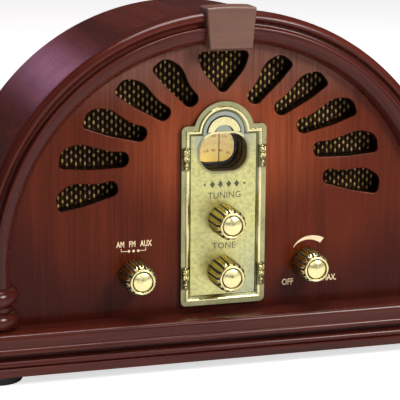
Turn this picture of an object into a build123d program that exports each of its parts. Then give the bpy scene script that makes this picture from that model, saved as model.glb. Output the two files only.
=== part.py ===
from build123d import *
import math
import os

# Cathedral table radio: a round-arched wooden cabinet on a moulded plinth, with a sunburst
# speaker grille, a brass faceplate around a lit dial window, four brass knobs and the works.
# Millimetres, +Z up. The feet stand on z = 0, x = 0 is the middle and y = 0 is the middle of
# the depth. The front faces -Y. "Depth" below is measured back from the front panel's face,
# and "height" is measured up from the top of the base.

# ---------------------------------------------------------------- driving sizes
# Arch and cabinet
arch_radius = 140.5          # inner edge of the arch moulding
arch_rise = 36.0             # height of the arch's centre
moulding_width = 21.0
shell_setback = 5.5          # shell face inside the moulding's rim
shell_wall = 8.0
cabinet_depth = 112.0        # panel face to the shell's back edge
panel_thickness = 12.0
glue_gap = 0.15              # between glued curved pieces
edge_break = 1.2             # softened outer edges of the wooden pieces

# Base
base_margin = 10.5           # fascia beyond the arch moulding, each side
front_overhang = 24.5        # fascia ahead of the panel face
rear_overhang = 4.5
board_thickness = 13.0       # top board
plinth_height = 13.0         # rails under the board
slab_setback = 3.6           # upper edge of the board behind the fascia
nose_radius = 3.0
bead_radius = 2.2            # round bead under the slab, and the torus on the rails
groove_height = 3.3
groove_setback = 7.6
torus_setback = 3.2
fascia_break = 0.8
rail_thickness = 18.0
block_size = 30.0            # glue blocks in the plinth's corners
foot_radius = 16.5
foot_inset = 23.0            # foot's centre from the base's outer faces
foot_height = 7.5
foot_taper = 1.2
foot_recess_radius = 4.6
foot_recess_depth = 4.2

# Arch moulding section, from the rim inwards
rim_depth = 5.5              # straight part of the rim
torus_width = 6.0
torus_depth = 11.6
cove_width = 3.4
cove_depth = 8.0
crest_width = 2.6            # flat bead beside the cove
moulding_depth = 12.6
lip_depth = 2.2              # step where the moulding meets the panel

# Capitals and keystone
capital_height = 27.5
capital_radius = 16.5
capital_neck = 12.4
neck_height = 2.5
keystone_top_width = 33.0
keystone_bottom_width = 28.5
keystone_rise = 2.5          # above the moulding's rim
keystone_drop = 2.5          # below the moulding's inner edge
keystone_depth = 16.0
keystone_crown = 0.7         # curve of its top

# Sunburst: (direction in degrees, outer reach) of each petal on the right half
petals = [(10, 19.8), (25, 24.3), (40, 21.3), (55, 18.8), (70, 16.4)]
sunburst_inset = 49.0        # petal circle inside the arch radius
sunburst_rise = 31.0         # its centre above the arch's centre
petal_tilt = 20.0            # how far a petal leans from the radial direction
petal_inner_reach = 21.0
petal_lip = 1.0              # rounded edge of each opening
wedge_half_width = 17.6      # centre opening under the keystone
wedge_inset = 6.0            # its top below the arch's inner edge
wedge_height = 28.0

# Faceplate
plate_width = 57.0
plate_bottom = 4.9
plate_shoulder = 123.5
plate_top = 138.8
plate_arch_radius = 20.3
plate_corner = 3.5
plate_field = 2.2            # thickness of the flat field
plate_band = 3.2             # height of the outer band
plate_bead = 4.3             # height of the inner bead
band_width = 3.0
bead_width = 1.4
slope_width = 2.2            # inner slope from the bead down to the field
window_width = 32.0
window_height = 24.8
window_corner = 10.8
window_centre = 105.5
window_lip_width = 1.3
window_lip_height = 0.6
crescent_radius = 10.9
crescent_width = 4.4
crescent_centre = 117.8
crescent_height = 0.9
clasp_heights = [(102.3, 15.0), (23.6, 15.0)]   # (centre, length)
clasp_radius = 2.3

# Controls
side_knob_x = 58.8
side_knob_height = 28.1
tuning_height = 61.4
tone_height = 26.8
shaft_radius = 3.0
shaft_clearance = 0.05
knob_radius = 10.3
knob_length = 21.0
knob_gap = 0.6               # behind each knob
knob_flutes = 14
flute_width = 1.7
flute_depth = 1.3
knob_ring_radius = 8.3
knob_dome_radius = 6.0
dome_flat = 0.6              # tiny flat at a dome's tip
knob_nut_recess = 7.0
knob_bore_depth = 15.5
control_radius = 8.5
control_setback = 5.0        # wood left in front of each control
control_proud = 3.0          # case behind the panel's back
control_pocket = 11.0        # radius of the pocket behind it
bushing_wall = 0.5           # threaded bush around each shaft
nut_across = 10.0
nut_thickness = 2.0
bush_wall = 2.0              # plain bush of the tuning shaft
bush_flange = 7.0
bush_flange_thickness = 1.0

# Dial drive
gear_module = 0.8
pinion_teeth = 10
dial_teeth = 30
tooth_share = 0.40           # tooth thickness over the tooth spacing
root_share = 1.15            # tooth root below the pitch line, in modules
tip_share = 0.85             # tooth tip above it
gear_gap = 0.3               # behind the tuning bush
neck_inset = 0.08            # pinion's neck inside its tooth roots
gear_thickness = 3.7
disc_margin = 0.05           # disc beyond the window's far corners
disc_standoff = 3.0          # hub between the gear and the disc
disc_thickness = 1.2
hub_radius = 6.0
hub_seat = 4.5
well_wall = 1.6
well_flange = 2.4
well_flange_thickness = 1.5
well_lip = 2.4               # inward lip at the well's far end
well_lip_thickness = 1.2
well_gap = 1.6               # well's end ahead of the disc
lens_depth = 8.0
lens_thickness = 1.5
cursor_width = 0.5
cursor_thickness = 0.4

# Tuning bracket and variable capacitor
bracket_gap = 2.8            # behind the disc
bracket_thickness = 1.5
bracket_bottom = 40.0
bracket_top = 128.0
post_radius = 3.0
post_spots = [(30.0, 120.5), (36.0, 45.5)]
capacitor_half = 17.0
capacitor_length = 27.0
capacitor_sheet = 1.2
vane_radius = 12.0
vane_thickness = 0.8
vane_pitch = 3.0
vane_count = 6
lamp_window_width = 26.0
lamp_window_height = 19.0
lamp_radius = 4.5
bulb_reach = 10.5

# Baffle, cloth and speakers
cloth_thickness = 0.6
cloth_bottom = 68.0
cloth_inset = 1.5            # cloth beyond the arch moulding's inner edge
notch_clearance = 1.5        # beside the dial works
notch_top = 126.5
baffle_thickness = 6.0
speaker_x = 82.0
speaker_height = 99.0
speaker_radius = 38.0
speaker_opening = 29.0
flange_thickness = 2.0
basket_wall = 1.5
basket_depth = 20.0
basket_rim = 6.0             # straight part of the basket behind its flange
surround_inner = 24.0
speaker_gap = 0.4            # around the moving cone
coil_radius = 8.3
coil_wall = 0.5
magnet_radius = 20.0
magnet_thickness = 10.0
plate_thickness = 3.0
screw_circle = 34.9
screw_radius = 1.6
screw_head_radius = 3.0
screw_head_height = 2.0
screw_length = 12.0
screw_clearance = 0.15

# Back
rear_inset = 3.0             # rear panel inside the shell's back edge
rear_thickness = 4.0
batten_width = 12.0
batten_thickness = 8.0
vent_count = 9
vent_width = 4.0
vent_height = 34.0
vent_pitch = 13.0
vent_centre = 112.0
socket_height = 22.0
inlet_x = -50.0
inlet_radius = 5.2
inlet_bore = 3.0
aux_x = -18.0
aux_radius = 4.0
aux_bore = 1.8
socket_body = 12.0
socket_nose = 6.0
inlet_length = 12.0          # socket bodies ahead of the rear panel
aux_length = 14.0

# Circuit board and aerial
board_width = 124.0
board_depth = 44.0
board_gap = 1.0              # ahead of the sockets
board_sheet = 1.6
standoff_height = 8.0
standoff_radius = 3.2
rod_radius = 5.0
rod_length = 110.0
rod_standoff = 27.4          # behind the baffle
rod_height = 150.0
clip_x = 40.0
clip_width = 8.0
clip_wall = 2.0

# ---------------------------------------------------------------- derived places
moulding_radius = arch_radius + moulding_width
shell_radius = moulding_radius - shell_setback
shell_bore = shell_radius - shell_wall
base_width = 2 * (moulding_radius + base_margin)
base_depth = front_overhang + cabinet_depth + rear_overhang
panel_y = front_overhang - base_depth / 2
plinth_top = foot_height + plinth_height
base_top = plinth_top + board_thickness
arch_z = base_top + arch_rise
moulding_middle = arch_radius + moulding_width / 2
baffle_depth = panel_thickness + cloth_thickness
baffle_back = baffle_depth + baffle_thickness
rear_face = cabinet_depth - rear_inset - rear_thickness
dial_height = tuning_height + gear_module * (pinion_teeth + dial_teeth) / 2
bushing_radius = shaft_radius + bushing_wall
control_depth = panel_thickness - control_setback + control_proud
bush_radius = shaft_radius + bush_wall
gear_front = panel_thickness + bush_flange_thickness + gear_gap
gear_back = gear_front + gear_thickness
disc_depth = gear_back + disc_standoff
disc_radius = window_corner + disc_margin + math.hypot(
    window_width / 2 - window_corner,
    window_centre + window_height / 2 - window_corner - dial_height,
)
well_length = disc_depth - well_gap
bracket_depth = disc_depth + disc_thickness + bracket_gap
bracket_half_width = disc_radius
notch_half_width = bracket_half_width + notch_clearance
post_length = bracket_depth - panel_thickness
board_front = rear_face - aux_length - board_gap - board_depth
rod_depth = baffle_back + rod_standoff
knob_spots = {
    "band": (-side_knob_x, side_knob_height, 0.0),
    "volume": (side_knob_x, side_knob_height, 0.0),
    "tone": (0.0, tone_height, plate_field),
    "tuning": (0.0, tuning_height, plate_field),
}
front_plane = Plane(origin=(0, panel_y, base_top), x_dir=(1, 0, 0), z_dir=(0, -1, 0))


# ---------------------------------------------------------------- helpers
def upright(depth):
    """Upright plane at a depth behind the panel face: local x is +X, local y is height."""
    return front_plane.offset(-depth)


def turning_plane(x, height):
    """Level plane through a turned piece's axis: local x is its radius, local y its depth."""
    return Plane(origin=(x, panel_y, base_top + height))


def turning_axis(x, height):
    """Front-to-back axis at a place on the panel."""
    return Axis((x, panel_y, base_top + height), (0, 1, 0))


def arch_outline(radius):
    """Round-headed arch with straight feet."""
    with BuildSketch() as outline:
        with BuildLine():
            Line((-radius, 0), (-radius, arch_rise))
            ThreePointArc((-radius, arch_rise), (0, arch_rise + radius), (radius, arch_rise))
            Polyline((radius, arch_rise), (radius, 0), (-radius, 0))
        make_face()
    return outline.sketch


def petal_outline(reach):
    """One sunburst opening along local x: narrow inner end, wide slanting outer end."""
    corners = [
        (-petal_inner_reach, 4.8, 4.5),
        (-9.0, 3.8, 30.0),
        (reach - 11.5, 8.6, 15.0),
        (reach + 0.2, 3.4, 7.5),
        (reach, -7.8, 2.8),
        (3.0, -7.8, 60.0),
        (-petal_inner_reach + 1.0, -5.2, 4.6),
    ]
    with BuildSketch() as outline:
        with BuildLine():
            Polyline(*[(x, y) for x, y, radius in corners], close=True)
        make_face()
        for x, y, radius in corners:
            fillet(outline.vertices().sort_by_distance((x, y, 0))[0], radius)
    return outline.sketch


def wedge_outline():
    """Centre opening of the sunburst: a rounded wedge that points down."""
    top = arch_rise + arch_radius - wedge_inset
    with BuildSketch() as outline:
        with BuildLine():
            Polyline(
                (-wedge_half_width, top),
                (wedge_half_width, top),
                (wedge_half_width * 0.83, top - wedge_height * 0.41),
                (0, top - wedge_height),
                (-wedge_half_width * 0.83, top - wedge_height * 0.41),
                close=True,
            )
        make_face()
        fillet(outline.vertices().group_by(Axis.Y)[-1], 3.2)
        fillet(outline.vertices().group_by(Axis.Y)[0], 3.6)
        sides = outline.vertices().filter_by_position(
            Axis.Y, top - wedge_height * 0.41 - 0.1, top - wedge_height * 0.41 + 0.1
        )
        fillet(sides, 22.0)
    return outline.sketch


def sunburst():
    """All eleven openings, on the panel's own coordinates."""
    radius = arch_radius - sunburst_inset
    with BuildSketch() as openings:
        add(wedge_outline())
        for direction, reach in petals:
            turn = math.radians(direction)
            place = (radius * math.cos(turn), arch_rise + sunburst_rise + radius * math.sin(turn))
            right = petal_outline(reach).moved(Location((*place, 0), direction - petal_tilt))
            add(right)
            add(right.mirror(Plane.YZ))
    return openings.sketch


def plate_outline(inset):
    """Faceplate outline, set in from its edge."""
    middle = (plate_shoulder + plate_bottom) / 2
    with BuildSketch() as outline:
        with Locations((0, middle)):
            RectangleRounded(plate_width, plate_shoulder - plate_bottom, plate_corner)
        with Locations((0, plate_top - plate_arch_radius)):
            Circle(plate_arch_radius)
        if inset > 0:
            offset(amount=-inset, kind=Kind.INTERSECTION)
    return outline.sketch


def window_outline(extra):
    """Dial window, enlarged all round."""
    with BuildSketch() as outline:
        with Locations((0, window_centre)):
            RectangleRounded(
                window_width + 2 * extra, window_height + 2 * extra, window_corner + extra
            )
    return outline.sketch


def gear_outline(teeth, first_tooth):
    """Spur gear with straight-flanked teeth, thinned for running clearance."""
    pitch = gear_module * teeth / 2
    root = pitch - root_share * gear_module
    tip = pitch + tip_share * gear_module
    half = math.pi * gear_module * tooth_share / 2
    flank = math.tan(math.radians(20))
    points = []
    for tooth in range(teeth):
        middle = math.radians(first_tooth) + tooth * 2 * math.pi / teeth
        low = (half + (pitch - root) * flank) / pitch
        high = (half - (tip - pitch) * flank) / pitch
        for radius, turn in ((root, -low), (tip, -high), (tip, high), (root, low)):
            points.append((radius * math.cos(middle + turn), radius * math.sin(middle + turn)))
    with BuildSketch() as outline:
        with BuildLine():
            Polyline(*points, close=True)
        make_face()
    return outline.sketch


def polar(radius, direction):
    """Point at a radius and direction from the arch's centre, on panel coordinates."""
    turn = math.radians(direction)
    return (radius * math.cos(turn), arch_rise + radius * math.sin(turn))


# ---------------------------------------------------------------- base
def half_board(reach):
    """Half section of the top board: rounded nose, slab and bead."""
    slab = reach - slab_setback
    bead_top = plinth_top + 2 * bead_radius
    with BuildSketch() as section:
        with BuildLine():
            Line((0, base_top), (slab - nose_radius, base_top))
            TangentArc((slab - nose_radius, base_top), (slab, base_top - nose_radius), tangent=(1, 0))
            Line((slab, base_top - nose_radius), (slab, bead_top))
            ThreePointArc(
                (slab, bead_top), (slab + bead_radius, plinth_top + bead_radius), (slab, plinth_top)
            )
            Polyline((slab, plinth_top), (0, plinth_top), (0, base_top))
        make_face()
    return section.sketch


def half_rail(reach):
    """Half section of the plinth: groove, torus and fascia."""
    groove = reach - groove_setback
    torus = reach - torus_setback
    torus_top = plinth_top - groove_height
    fascia_top = torus_top - 2 * bead_radius
    with BuildSketch() as section:
        with BuildLine():
            Polyline((0, plinth_top), (groove, plinth_top), (groove, torus_top), (torus, torus_top))
            ThreePointArc(
                (torus, torus_top),
                (torus + bead_radius, torus_top - bead_radius),
                (torus, fascia_top),
            )
            Line((torus, fascia_top), (reach - fascia_break, fascia_top))
            Line((reach - fascia_break, fascia_top), (reach, fascia_top - fascia_break))
            Polyline((reach, fascia_top - fascia_break), (reach, foot_height), (0, foot_height))
            Line((0, foot_height), (0, plinth_top))
        make_face()
    return section.sketch


def moulded_block(half_section, bottom, top):
    """Block with one moulding along its front and both ends, and a plain back."""
    with BuildPart() as block:
        with BuildSketch(Plane.XZ):
            add(half_section(base_width / 2))
            mirror(about=Plane.YZ)
        extrude(amount=base_depth / 2, both=True)
        with BuildSketch(Plane.YZ):
            add(half_section(base_depth / 2).mirror(Plane.YZ))
            with Locations((base_depth / 4, (bottom + top) / 2)):
                Rectangle(base_depth / 2, top - bottom)
        extrude(amount=base_width / 2, both=True, mode=Mode.INTERSECT)
    return block.part


with BuildPart() as base_top_board:
    add(moulded_block(half_board, plinth_top, base_top))

plinth_ring = moulded_block(half_rail, foot_height, plinth_top)
half_width = base_width / 2
half_depth = base_depth / 2
mitre = rail_thickness
plinth_plans = {
    "front": [
        (-half_width, -half_depth),
        (half_width, -half_depth),
        (half_width - mitre, -half_depth + mitre),
        (-half_width + mitre, -half_depth + mitre),
    ],
    "left": [
        (-half_width, -half_depth),
        (-half_width + mitre, -half_depth + mitre),
        (-half_width + mitre, half_depth),
        (-half_width, half_depth),
    ],
    "right": [
        (half_width, -half_depth),
        (half_width - mitre, -half_depth + mitre),
        (half_width - mitre, half_depth),
        (half_width, half_depth),
    ],
    "rear": [
        (-half_width + mitre, half_depth - mitre),
        (half_width - mitre, half_depth - mitre),
        (half_width - mitre, half_depth),
        (-half_width + mitre, half_depth),
    ],
}


def plinth_rail(corners):
    """One rail of the plinth, mitred to its neighbours."""
    with BuildPart() as rail:
        add(plinth_ring)
        with BuildSketch(Plane.XY.offset(foot_height)):
            with BuildLine():
                Polyline(*corners, close=True)
            make_face()
        extrude(amount=plinth_height, mode=Mode.INTERSECT)
    return rail


plinth_rails = {side: plinth_rail(corners) for side, corners in plinth_plans.items()}

block_x = half_width - rail_thickness - block_size / 2
block_y = half_depth - rail_thickness - block_size / 2
block_spots = [(x, y) for x in (-block_x, block_x) for y in (-block_y, block_y)]
foot_x = half_width - foot_inset
foot_y = half_depth - foot_inset
foot_spots = [(x, y) for x in (-foot_x, foot_x) for y in (-foot_y, foot_y)]

with BuildPart() as corner_blocks:
    with BuildSketch(Plane.XY.offset(foot_height)):
        with Locations(*block_spots):
            Rectangle(block_size, block_size)
        with Locations(*foot_spots):
            Circle(screw_radius, mode=Mode.SUBTRACT)
    extrude(amount=plinth_height)

with BuildPart() as rubber_feet:
    with BuildSketch(Plane.XY.offset(foot_height)):
        with Locations(*foot_spots):
            Circle(foot_radius)
    extrude(amount=-foot_height, taper=math.degrees(math.atan(foot_taper / foot_height)))
    fillet(rubber_feet.edges().group_by(Axis.Z)[0], edge_break)
    with BuildSketch(Plane.XY):
        with Locations(*foot_spots):
            Circle(foot_recess_radius)
    extrude(amount=foot_recess_depth, mode=Mode.SUBTRACT)
    with BuildSketch(Plane.XY):
        with Locations(*foot_spots):
            Circle(screw_radius + screw_clearance)
    extrude(amount=foot_height, mode=Mode.SUBTRACT)

with BuildPart() as foot_screws:
    with BuildSketch(Plane.XY.offset(foot_recess_depth)):
        with Locations(*foot_spots):
            Circle(screw_head_radius)
    extrude(amount=-screw_head_height)
    fillet(foot_screws.edges().group_by(Axis.Z)[0], 0.8)
    with BuildSketch(Plane.XY.offset(foot_recess_depth)):
        with Locations(*foot_spots):
            Circle(screw_radius - screw_clearance)
    extrude(amount=screw_length)
    with BuildSketch(Plane.XY.offset(foot_recess_depth - screw_head_height)):
        with Locations(*foot_spots):
            Rectangle(3.6, 0.8)
            Rectangle(0.8, 3.6)
    extrude(amount=1.0, mode=Mode.SUBTRACT)

# ---------------------------------------------------------------- cabinet
with BuildPart() as cabinet_shell:
    with BuildSketch(upright(0)):
        add(arch_outline(shell_radius))
        add(arch_outline(shell_bore), mode=Mode.SUBTRACT)
    extrude(amount=-cabinet_depth)
    outer_edges = cabinet_shell.edges().filter_by(GeomType.CIRCLE).sort_by(SortBy.RADIUS)[-2:]
    fillet(outer_edges, edge_break)

pocket_spots = [knob_spots[name][:2] for name in ("band", "volume", "tone")]
tuning_spot = (0, tuning_height)
baffle_screw_spots = [polar(arch_radius - 3.5, 66), polar(arch_radius - 13.5, 16.5), (49.5, 74)]
baffle_screw_spots += [(-x, z) for x, z in baffle_screw_spots]
bracket_posts_spots = [(s * x, z) for x, z in post_spots for s in (-1, 1)]

with BuildPart() as front_panel:
    with BuildSketch(upright(0)):
        add(arch_outline(shell_bore - glue_gap))
        add(sunburst(), mode=Mode.SUBTRACT)
    extrude(amount=-panel_thickness)
    front_face = front_panel.faces().filter_by(Axis.Y).sort_by(Axis.Y)[0]
    opening_edges = [edge for wire in front_face.inner_wires() for edge in wire.edges()]
    fillet(opening_edges, petal_lip)
    with BuildSketch(upright(0)):
        add(window_outline(well_wall + glue_gap))
        with Locations(*pocket_spots):
            Circle(bushing_radius + glue_gap)
        with Locations(tuning_spot):
            Circle(bush_radius + glue_gap)
    extrude(amount=-panel_thickness, mode=Mode.SUBTRACT)
    with BuildSketch(upright(0)):
        add(window_outline(well_wall + well_flange + glue_gap))
    extrude(amount=-well_flange_thickness - glue_gap, mode=Mode.SUBTRACT)
    with BuildSketch(upright(panel_thickness)):
        with Locations(*pocket_spots):
            Circle(control_pocket)
    extrude(amount=panel_thickness - control_setback, mode=Mode.SUBTRACT)
    with BuildSketch(upright(panel_thickness)):
        with Locations(*baffle_screw_spots):
            Circle(screw_radius)
    extrude(amount=panel_thickness - 6.0, mode=Mode.SUBTRACT)


def moulding_section():
    """Section of the arch moulding on its left foot: local x is -radius, y is depth."""
    rim = -moulding_radius
    cove = rim + torus_width
    crest = cove + cove_width
    slope = crest + crest_width
    inner = -arch_radius
    with BuildSketch() as section:
        with BuildLine():
            Line((inner, 0), (rim + 0.8, 0))
            Line((rim + 0.8, 0), (rim, -0.8))
            Line((rim, -0.8), (rim, -rim_depth))
            ThreePointArc(
                (rim, -rim_depth),
                (rim + torus_width * 0.32, -torus_depth + 1.0),
                (rim + torus_width * 0.62, -torus_depth),
            )
            ThreePointArc(
                (rim + torus_width * 0.62, -torus_depth),
                (cove - 0.6, -torus_depth + 0.8),
                (cove, -torus_depth + 2.0),
            )
            ThreePointArc(
                (cove, -torus_depth + 2.0),
                (cove + cove_width * 0.45, -cove_depth),
                (crest, -cove_depth - 2.6),
            )
            Line((crest, -cove_depth - 2.6), (crest, -moulding_depth + 0.9))
            ThreePointArc(
                (crest, -moulding_depth + 0.9),
                (crest + crest_width / 2, -moulding_depth),
                (slope, -moulding_depth + 0.9),
            )
            ThreePointArc(
                (slope, -moulding_depth + 0.9),
                (slope + (inner - slope) * 0.66, -moulding_depth + 3.9),
                (inner, -lip_depth),
            )
            Line((inner, -lip_depth), (inner, 0))
        make_face()
    return section.sketch


def keystone_outline(extra):
    """Keystone seen from the front: wider at the top, with a slightly crowned top."""
    top = arch_rise + moulding_radius + keystone_rise
    bottom = arch_rise + arch_radius - keystone_drop
    upper = keystone_top_width / 2 + extra
    lower = keystone_bottom_width / 2 + extra
    with BuildSketch() as outline:
        with BuildLine():
            Polyline((-upper, top), (-lower, bottom - extra), (lower, bottom - extra), (upper, top))
            ThreePointArc((upper, top), (0, top + keystone_crown), (-upper, top))
        make_face()
    return outline.sketch


with BuildPart() as arch_moulding_left:
    with BuildSketch(Plane(origin=(0, panel_y, arch_z))):
        add(moulding_section())
    revolve(axis=turning_axis(0, arch_rise), revolution_arc=90)
    with BuildSketch(Plane(origin=(0, panel_y, arch_z))):
        add(moulding_section())
    extrude(amount=-(arch_rise - capital_height))
    with BuildSketch(upright(0)):
        add(keystone_outline(glue_gap))
    extrude(amount=keystone_depth, mode=Mode.SUBTRACT)

with BuildPart() as arch_moulding_right:
    add(arch_moulding_left.part.mirror(Plane.YZ))

with BuildPart() as keystone:
    with BuildSketch(upright(0)):
        add(keystone_outline(0))
    extrude(amount=keystone_depth)
    fillet(keystone.edges().group_by(Axis.Y)[0], edge_break)
    fillet(keystone.edges().filter_by(Axis.Y), 0.8)


def capital(side):
    """Half-round turned block under one foot of the arch: two tori around a neck."""
    torus_height = (capital_height - neck_height) / 2
    bulge = torus_height / 2
    ring = capital_radius - bulge
    upper = neck_height + torus_height
    with BuildPart() as block:
        with BuildSketch(upright(0).shift_origin((side * moulding_middle, panel_y, base_top))):
            with BuildLine():
                Polyline((0, 0), (ring, 0))
                ThreePointArc((ring, 0), (capital_radius, bulge), (ring, torus_height))
                Polyline(
                    (ring, torus_height),
                    (capital_neck, torus_height),
                    (capital_neck, upper),
                    (ring, upper),
                )
                ThreePointArc((ring, upper), (capital_radius, upper + bulge), (ring, capital_height))
                Polyline((ring, capital_height), (0, capital_height), (0, 0))
            make_face()
        revolve(axis=Axis((side * moulding_middle, panel_y, base_top), (0, 0, 1)))
        split(bisect_by=Plane(origin=(0, panel_y, 0), z_dir=(0, -1, 0)), keep=Keep.TOP)
    return block


capital_left = capital(-1)
capital_right = capital(1)

# ---------------------------------------------------------------- baffle and cloth
speaker_spots = [(-speaker_x, speaker_height), (speaker_x, speaker_height)]
speaker_screw_spots = [
    (x + screw_circle * math.cos(math.radians(turn)), z + screw_circle * math.sin(math.radians(turn)))
    for x, z in speaker_spots
    for turn in (45, 135, 225, 315)
]


def baffle_outline():
    """Arched board behind the sunburst, notched for the dial works."""
    centred_low = (Align.CENTER, Align.MIN)
    with BuildSketch() as outline:
        add(arch_outline(arch_radius + cloth_inset))
        Rectangle(2 * shell_radius, cloth_bottom, align=centred_low, mode=Mode.SUBTRACT)
        Rectangle(2 * notch_half_width, notch_top, align=centred_low, mode=Mode.SUBTRACT)
    return outline.sketch


with BuildPart() as grille_cloth:
    with BuildSketch(upright(panel_thickness)):
        add(baffle_outline())
        with Locations(*baffle_screw_spots):
            Circle(screw_radius + screw_clearance, mode=Mode.SUBTRACT)
    extrude(amount=-cloth_thickness)

with BuildPart() as speaker_baffle:
    with BuildSketch(upright(baffle_depth)):
        add(baffle_outline())
        with Locations(*speaker_spots):
            Circle(speaker_opening, mode=Mode.SUBTRACT)
        with Locations(*baffle_screw_spots):
            Circle(screw_radius + screw_clearance, mode=Mode.SUBTRACT)
        with Locations(*speaker_screw_spots):
            Circle(screw_radius, mode=Mode.SUBTRACT)
    extrude(amount=-baffle_thickness)


def screws(spots, head_depth, length):
    """Pan-head screws driven forwards, with their heads' undersides at head_depth."""
    with BuildPart() as group:
        with BuildSketch(upright(head_depth)):
            with Locations(*spots):
                Circle(screw_head_radius)
        extrude(amount=-screw_head_height)
        fillet(group.edges().group_by(Axis.Y)[-1], 0.8)
        with BuildSketch(upright(head_depth)):
            with Locations(*spots):
                Circle(screw_radius - screw_clearance)
        extrude(amount=length)
        with BuildSketch(upright(head_depth + screw_head_height)):
            with Locations(*spots):
                Rectangle(3.6, 0.8)
                Rectangle(0.8, 3.6)
        extrude(amount=1.0, mode=Mode.SUBTRACT)
    return group


baffle_screws = screws(baffle_screw_spots, baffle_back, screw_length)
speaker_screws = screws(speaker_screw_spots, baffle_back + flange_thickness, 7.0)


# ---------------------------------------------------------------- speakers
def speaker_frame(x, height):
    """Pressed basket: flange, open cone with four windows, and a floor for the magnet."""
    front = baffle_back
    back = front + basket_depth
    floor = magnet_radius - 3.0
    with BuildPart() as frame:
        with BuildSketch(turning_plane(x, height)):
            with BuildLine():
                Polyline(
                    (speaker_opening + speaker_gap, front),
                    (speaker_radius, front),
                    (speaker_radius, front + flange_thickness),
                    (speaker_opening + speaker_gap + basket_wall, front + flange_thickness),
                    (speaker_opening + speaker_gap + basket_wall, front + basket_rim + basket_wall / 2),
                    (floor + basket_wall, back),
                    (coil_radius + 1.5, back),
                    (coil_radius + 1.5, back - basket_wall),
                    (floor, back - basket_wall),
                    (speaker_opening + speaker_gap, front + basket_rim),
                    close=True,
                )
            make_face()
        revolve(axis=turning_axis(x, height))
        with BuildSketch(upright(back)):
            with Locations(*[spot for spot in speaker_screw_spots if spot[0] * x > 0]):
                Circle(screw_radius + screw_clearance)
        extrude(amount=basket_depth, mode=Mode.SUBTRACT)
        with BuildSketch(upright(back - basket_wall - 2.0)):
            with Locations((x, height)):
                with PolarLocations(24.5, 4):
                    Rectangle(9.0, 18.0)
        extrude(amount=basket_depth - basket_wall - flange_thickness - 6.0, mode=Mode.SUBTRACT)
    return frame


def speaker_cone(x, height):
    """Paper cone with its rubber roll, dust dome and voice coil, as one moving piece."""
    front = baffle_back
    neck = front + 14.0
    wall = 0.8
    rim = speaker_opening
    with BuildPart() as cone:
        with BuildSketch(turning_plane(x, height)):
            with BuildLine():
                Line((coil_radius, neck), (surround_inner, front + 3.0))
                ThreePointArc(
                    (surround_inner, front + 3.0),
                    ((surround_inner + rim) / 2, front + 0.9),
                    (rim, front + 3.0),
                )
                Line((rim, front + 3.0), (rim - wall, front + 3.0))
                ThreePointArc(
                    (rim - wall, front + 3.0),
                    ((surround_inner + rim) / 2, front + 0.9 + wall),
                    (surround_inner + wall * 0.6, front + 3.0 + wall),
                )
                Line(
                    (surround_inner + wall * 0.6, front + 3.0 + wall),
                    (coil_radius + coil_wall, neck + wall),
                )
                Polyline(
                    (coil_radius + coil_wall, neck + wall),
                    (coil_radius + coil_wall, neck + 9.5),
                    (coil_radius, neck + 9.5),
                    (coil_radius, neck),
                )
            make_face()
        revolve(axis=turning_axis(x, height))
        with BuildSketch(turning_plane(x, height)):
            with BuildLine():
                Line((0, neck - 3.6), (dome_flat, neck - 3.6))
                ThreePointArc(
                    (dome_flat, neck - 3.6),
                    (coil_radius * 0.62, neck - 2.2),
                    (coil_radius + coil_wall / 2, neck + 0.6),
                )
                Line((coil_radius + coil_wall / 2, neck + 0.6), (coil_radius - 0.7, neck + 1.2))
                ThreePointArc(
                    (coil_radius - 0.7, neck + 1.2),
                    (coil_radius * 0.55, neck - 1.5),
                    (dome_flat, neck - 2.8),
                )
                Polyline((dome_flat, neck - 2.8), (0, neck - 2.8), (0, neck - 3.6))
            make_face()
        revolve(axis=turning_axis(x, height))
    return cone


with BuildPart() as speaker_magnets:
    magnet_front = baffle_back + basket_depth
    magnet_back = magnet_front + 2 * plate_thickness + magnet_thickness
    gap_outer = coil_radius + coil_wall + speaker_gap
    gap_inner = coil_radius - speaker_gap
    for x, height in speaker_spots:
        with BuildSketch(turning_plane(x, height)):
            with BuildLine():
                Polyline(
                    (gap_outer, magnet_front),
                    (magnet_radius - 1.5, magnet_front),
                    (magnet_radius - 1.5, magnet_front + plate_thickness),
                    (magnet_radius, magnet_front + plate_thickness),
                    (magnet_radius, magnet_back - plate_thickness),
                    (magnet_radius - 1.5, magnet_back - plate_thickness),
                    (magnet_radius - 1.5, magnet_back),
                    (0, magnet_back),
                    (0, magnet_front),
                    (gap_inner, magnet_front),
                    (gap_inner, magnet_back - plate_thickness),
                    (gap_outer, magnet_back - plate_thickness),
                    close=True,
                )
            make_face()
        revolve(axis=turning_axis(x, height))

speaker_frames = {side: speaker_frame(x, z) for side, (x, z) in zip(("left", "right"), speaker_spots)}
speaker_cones = {side: speaker_cone(x, z) for side, (x, z) in zip(("left", "right"), speaker_spots)}

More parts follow.
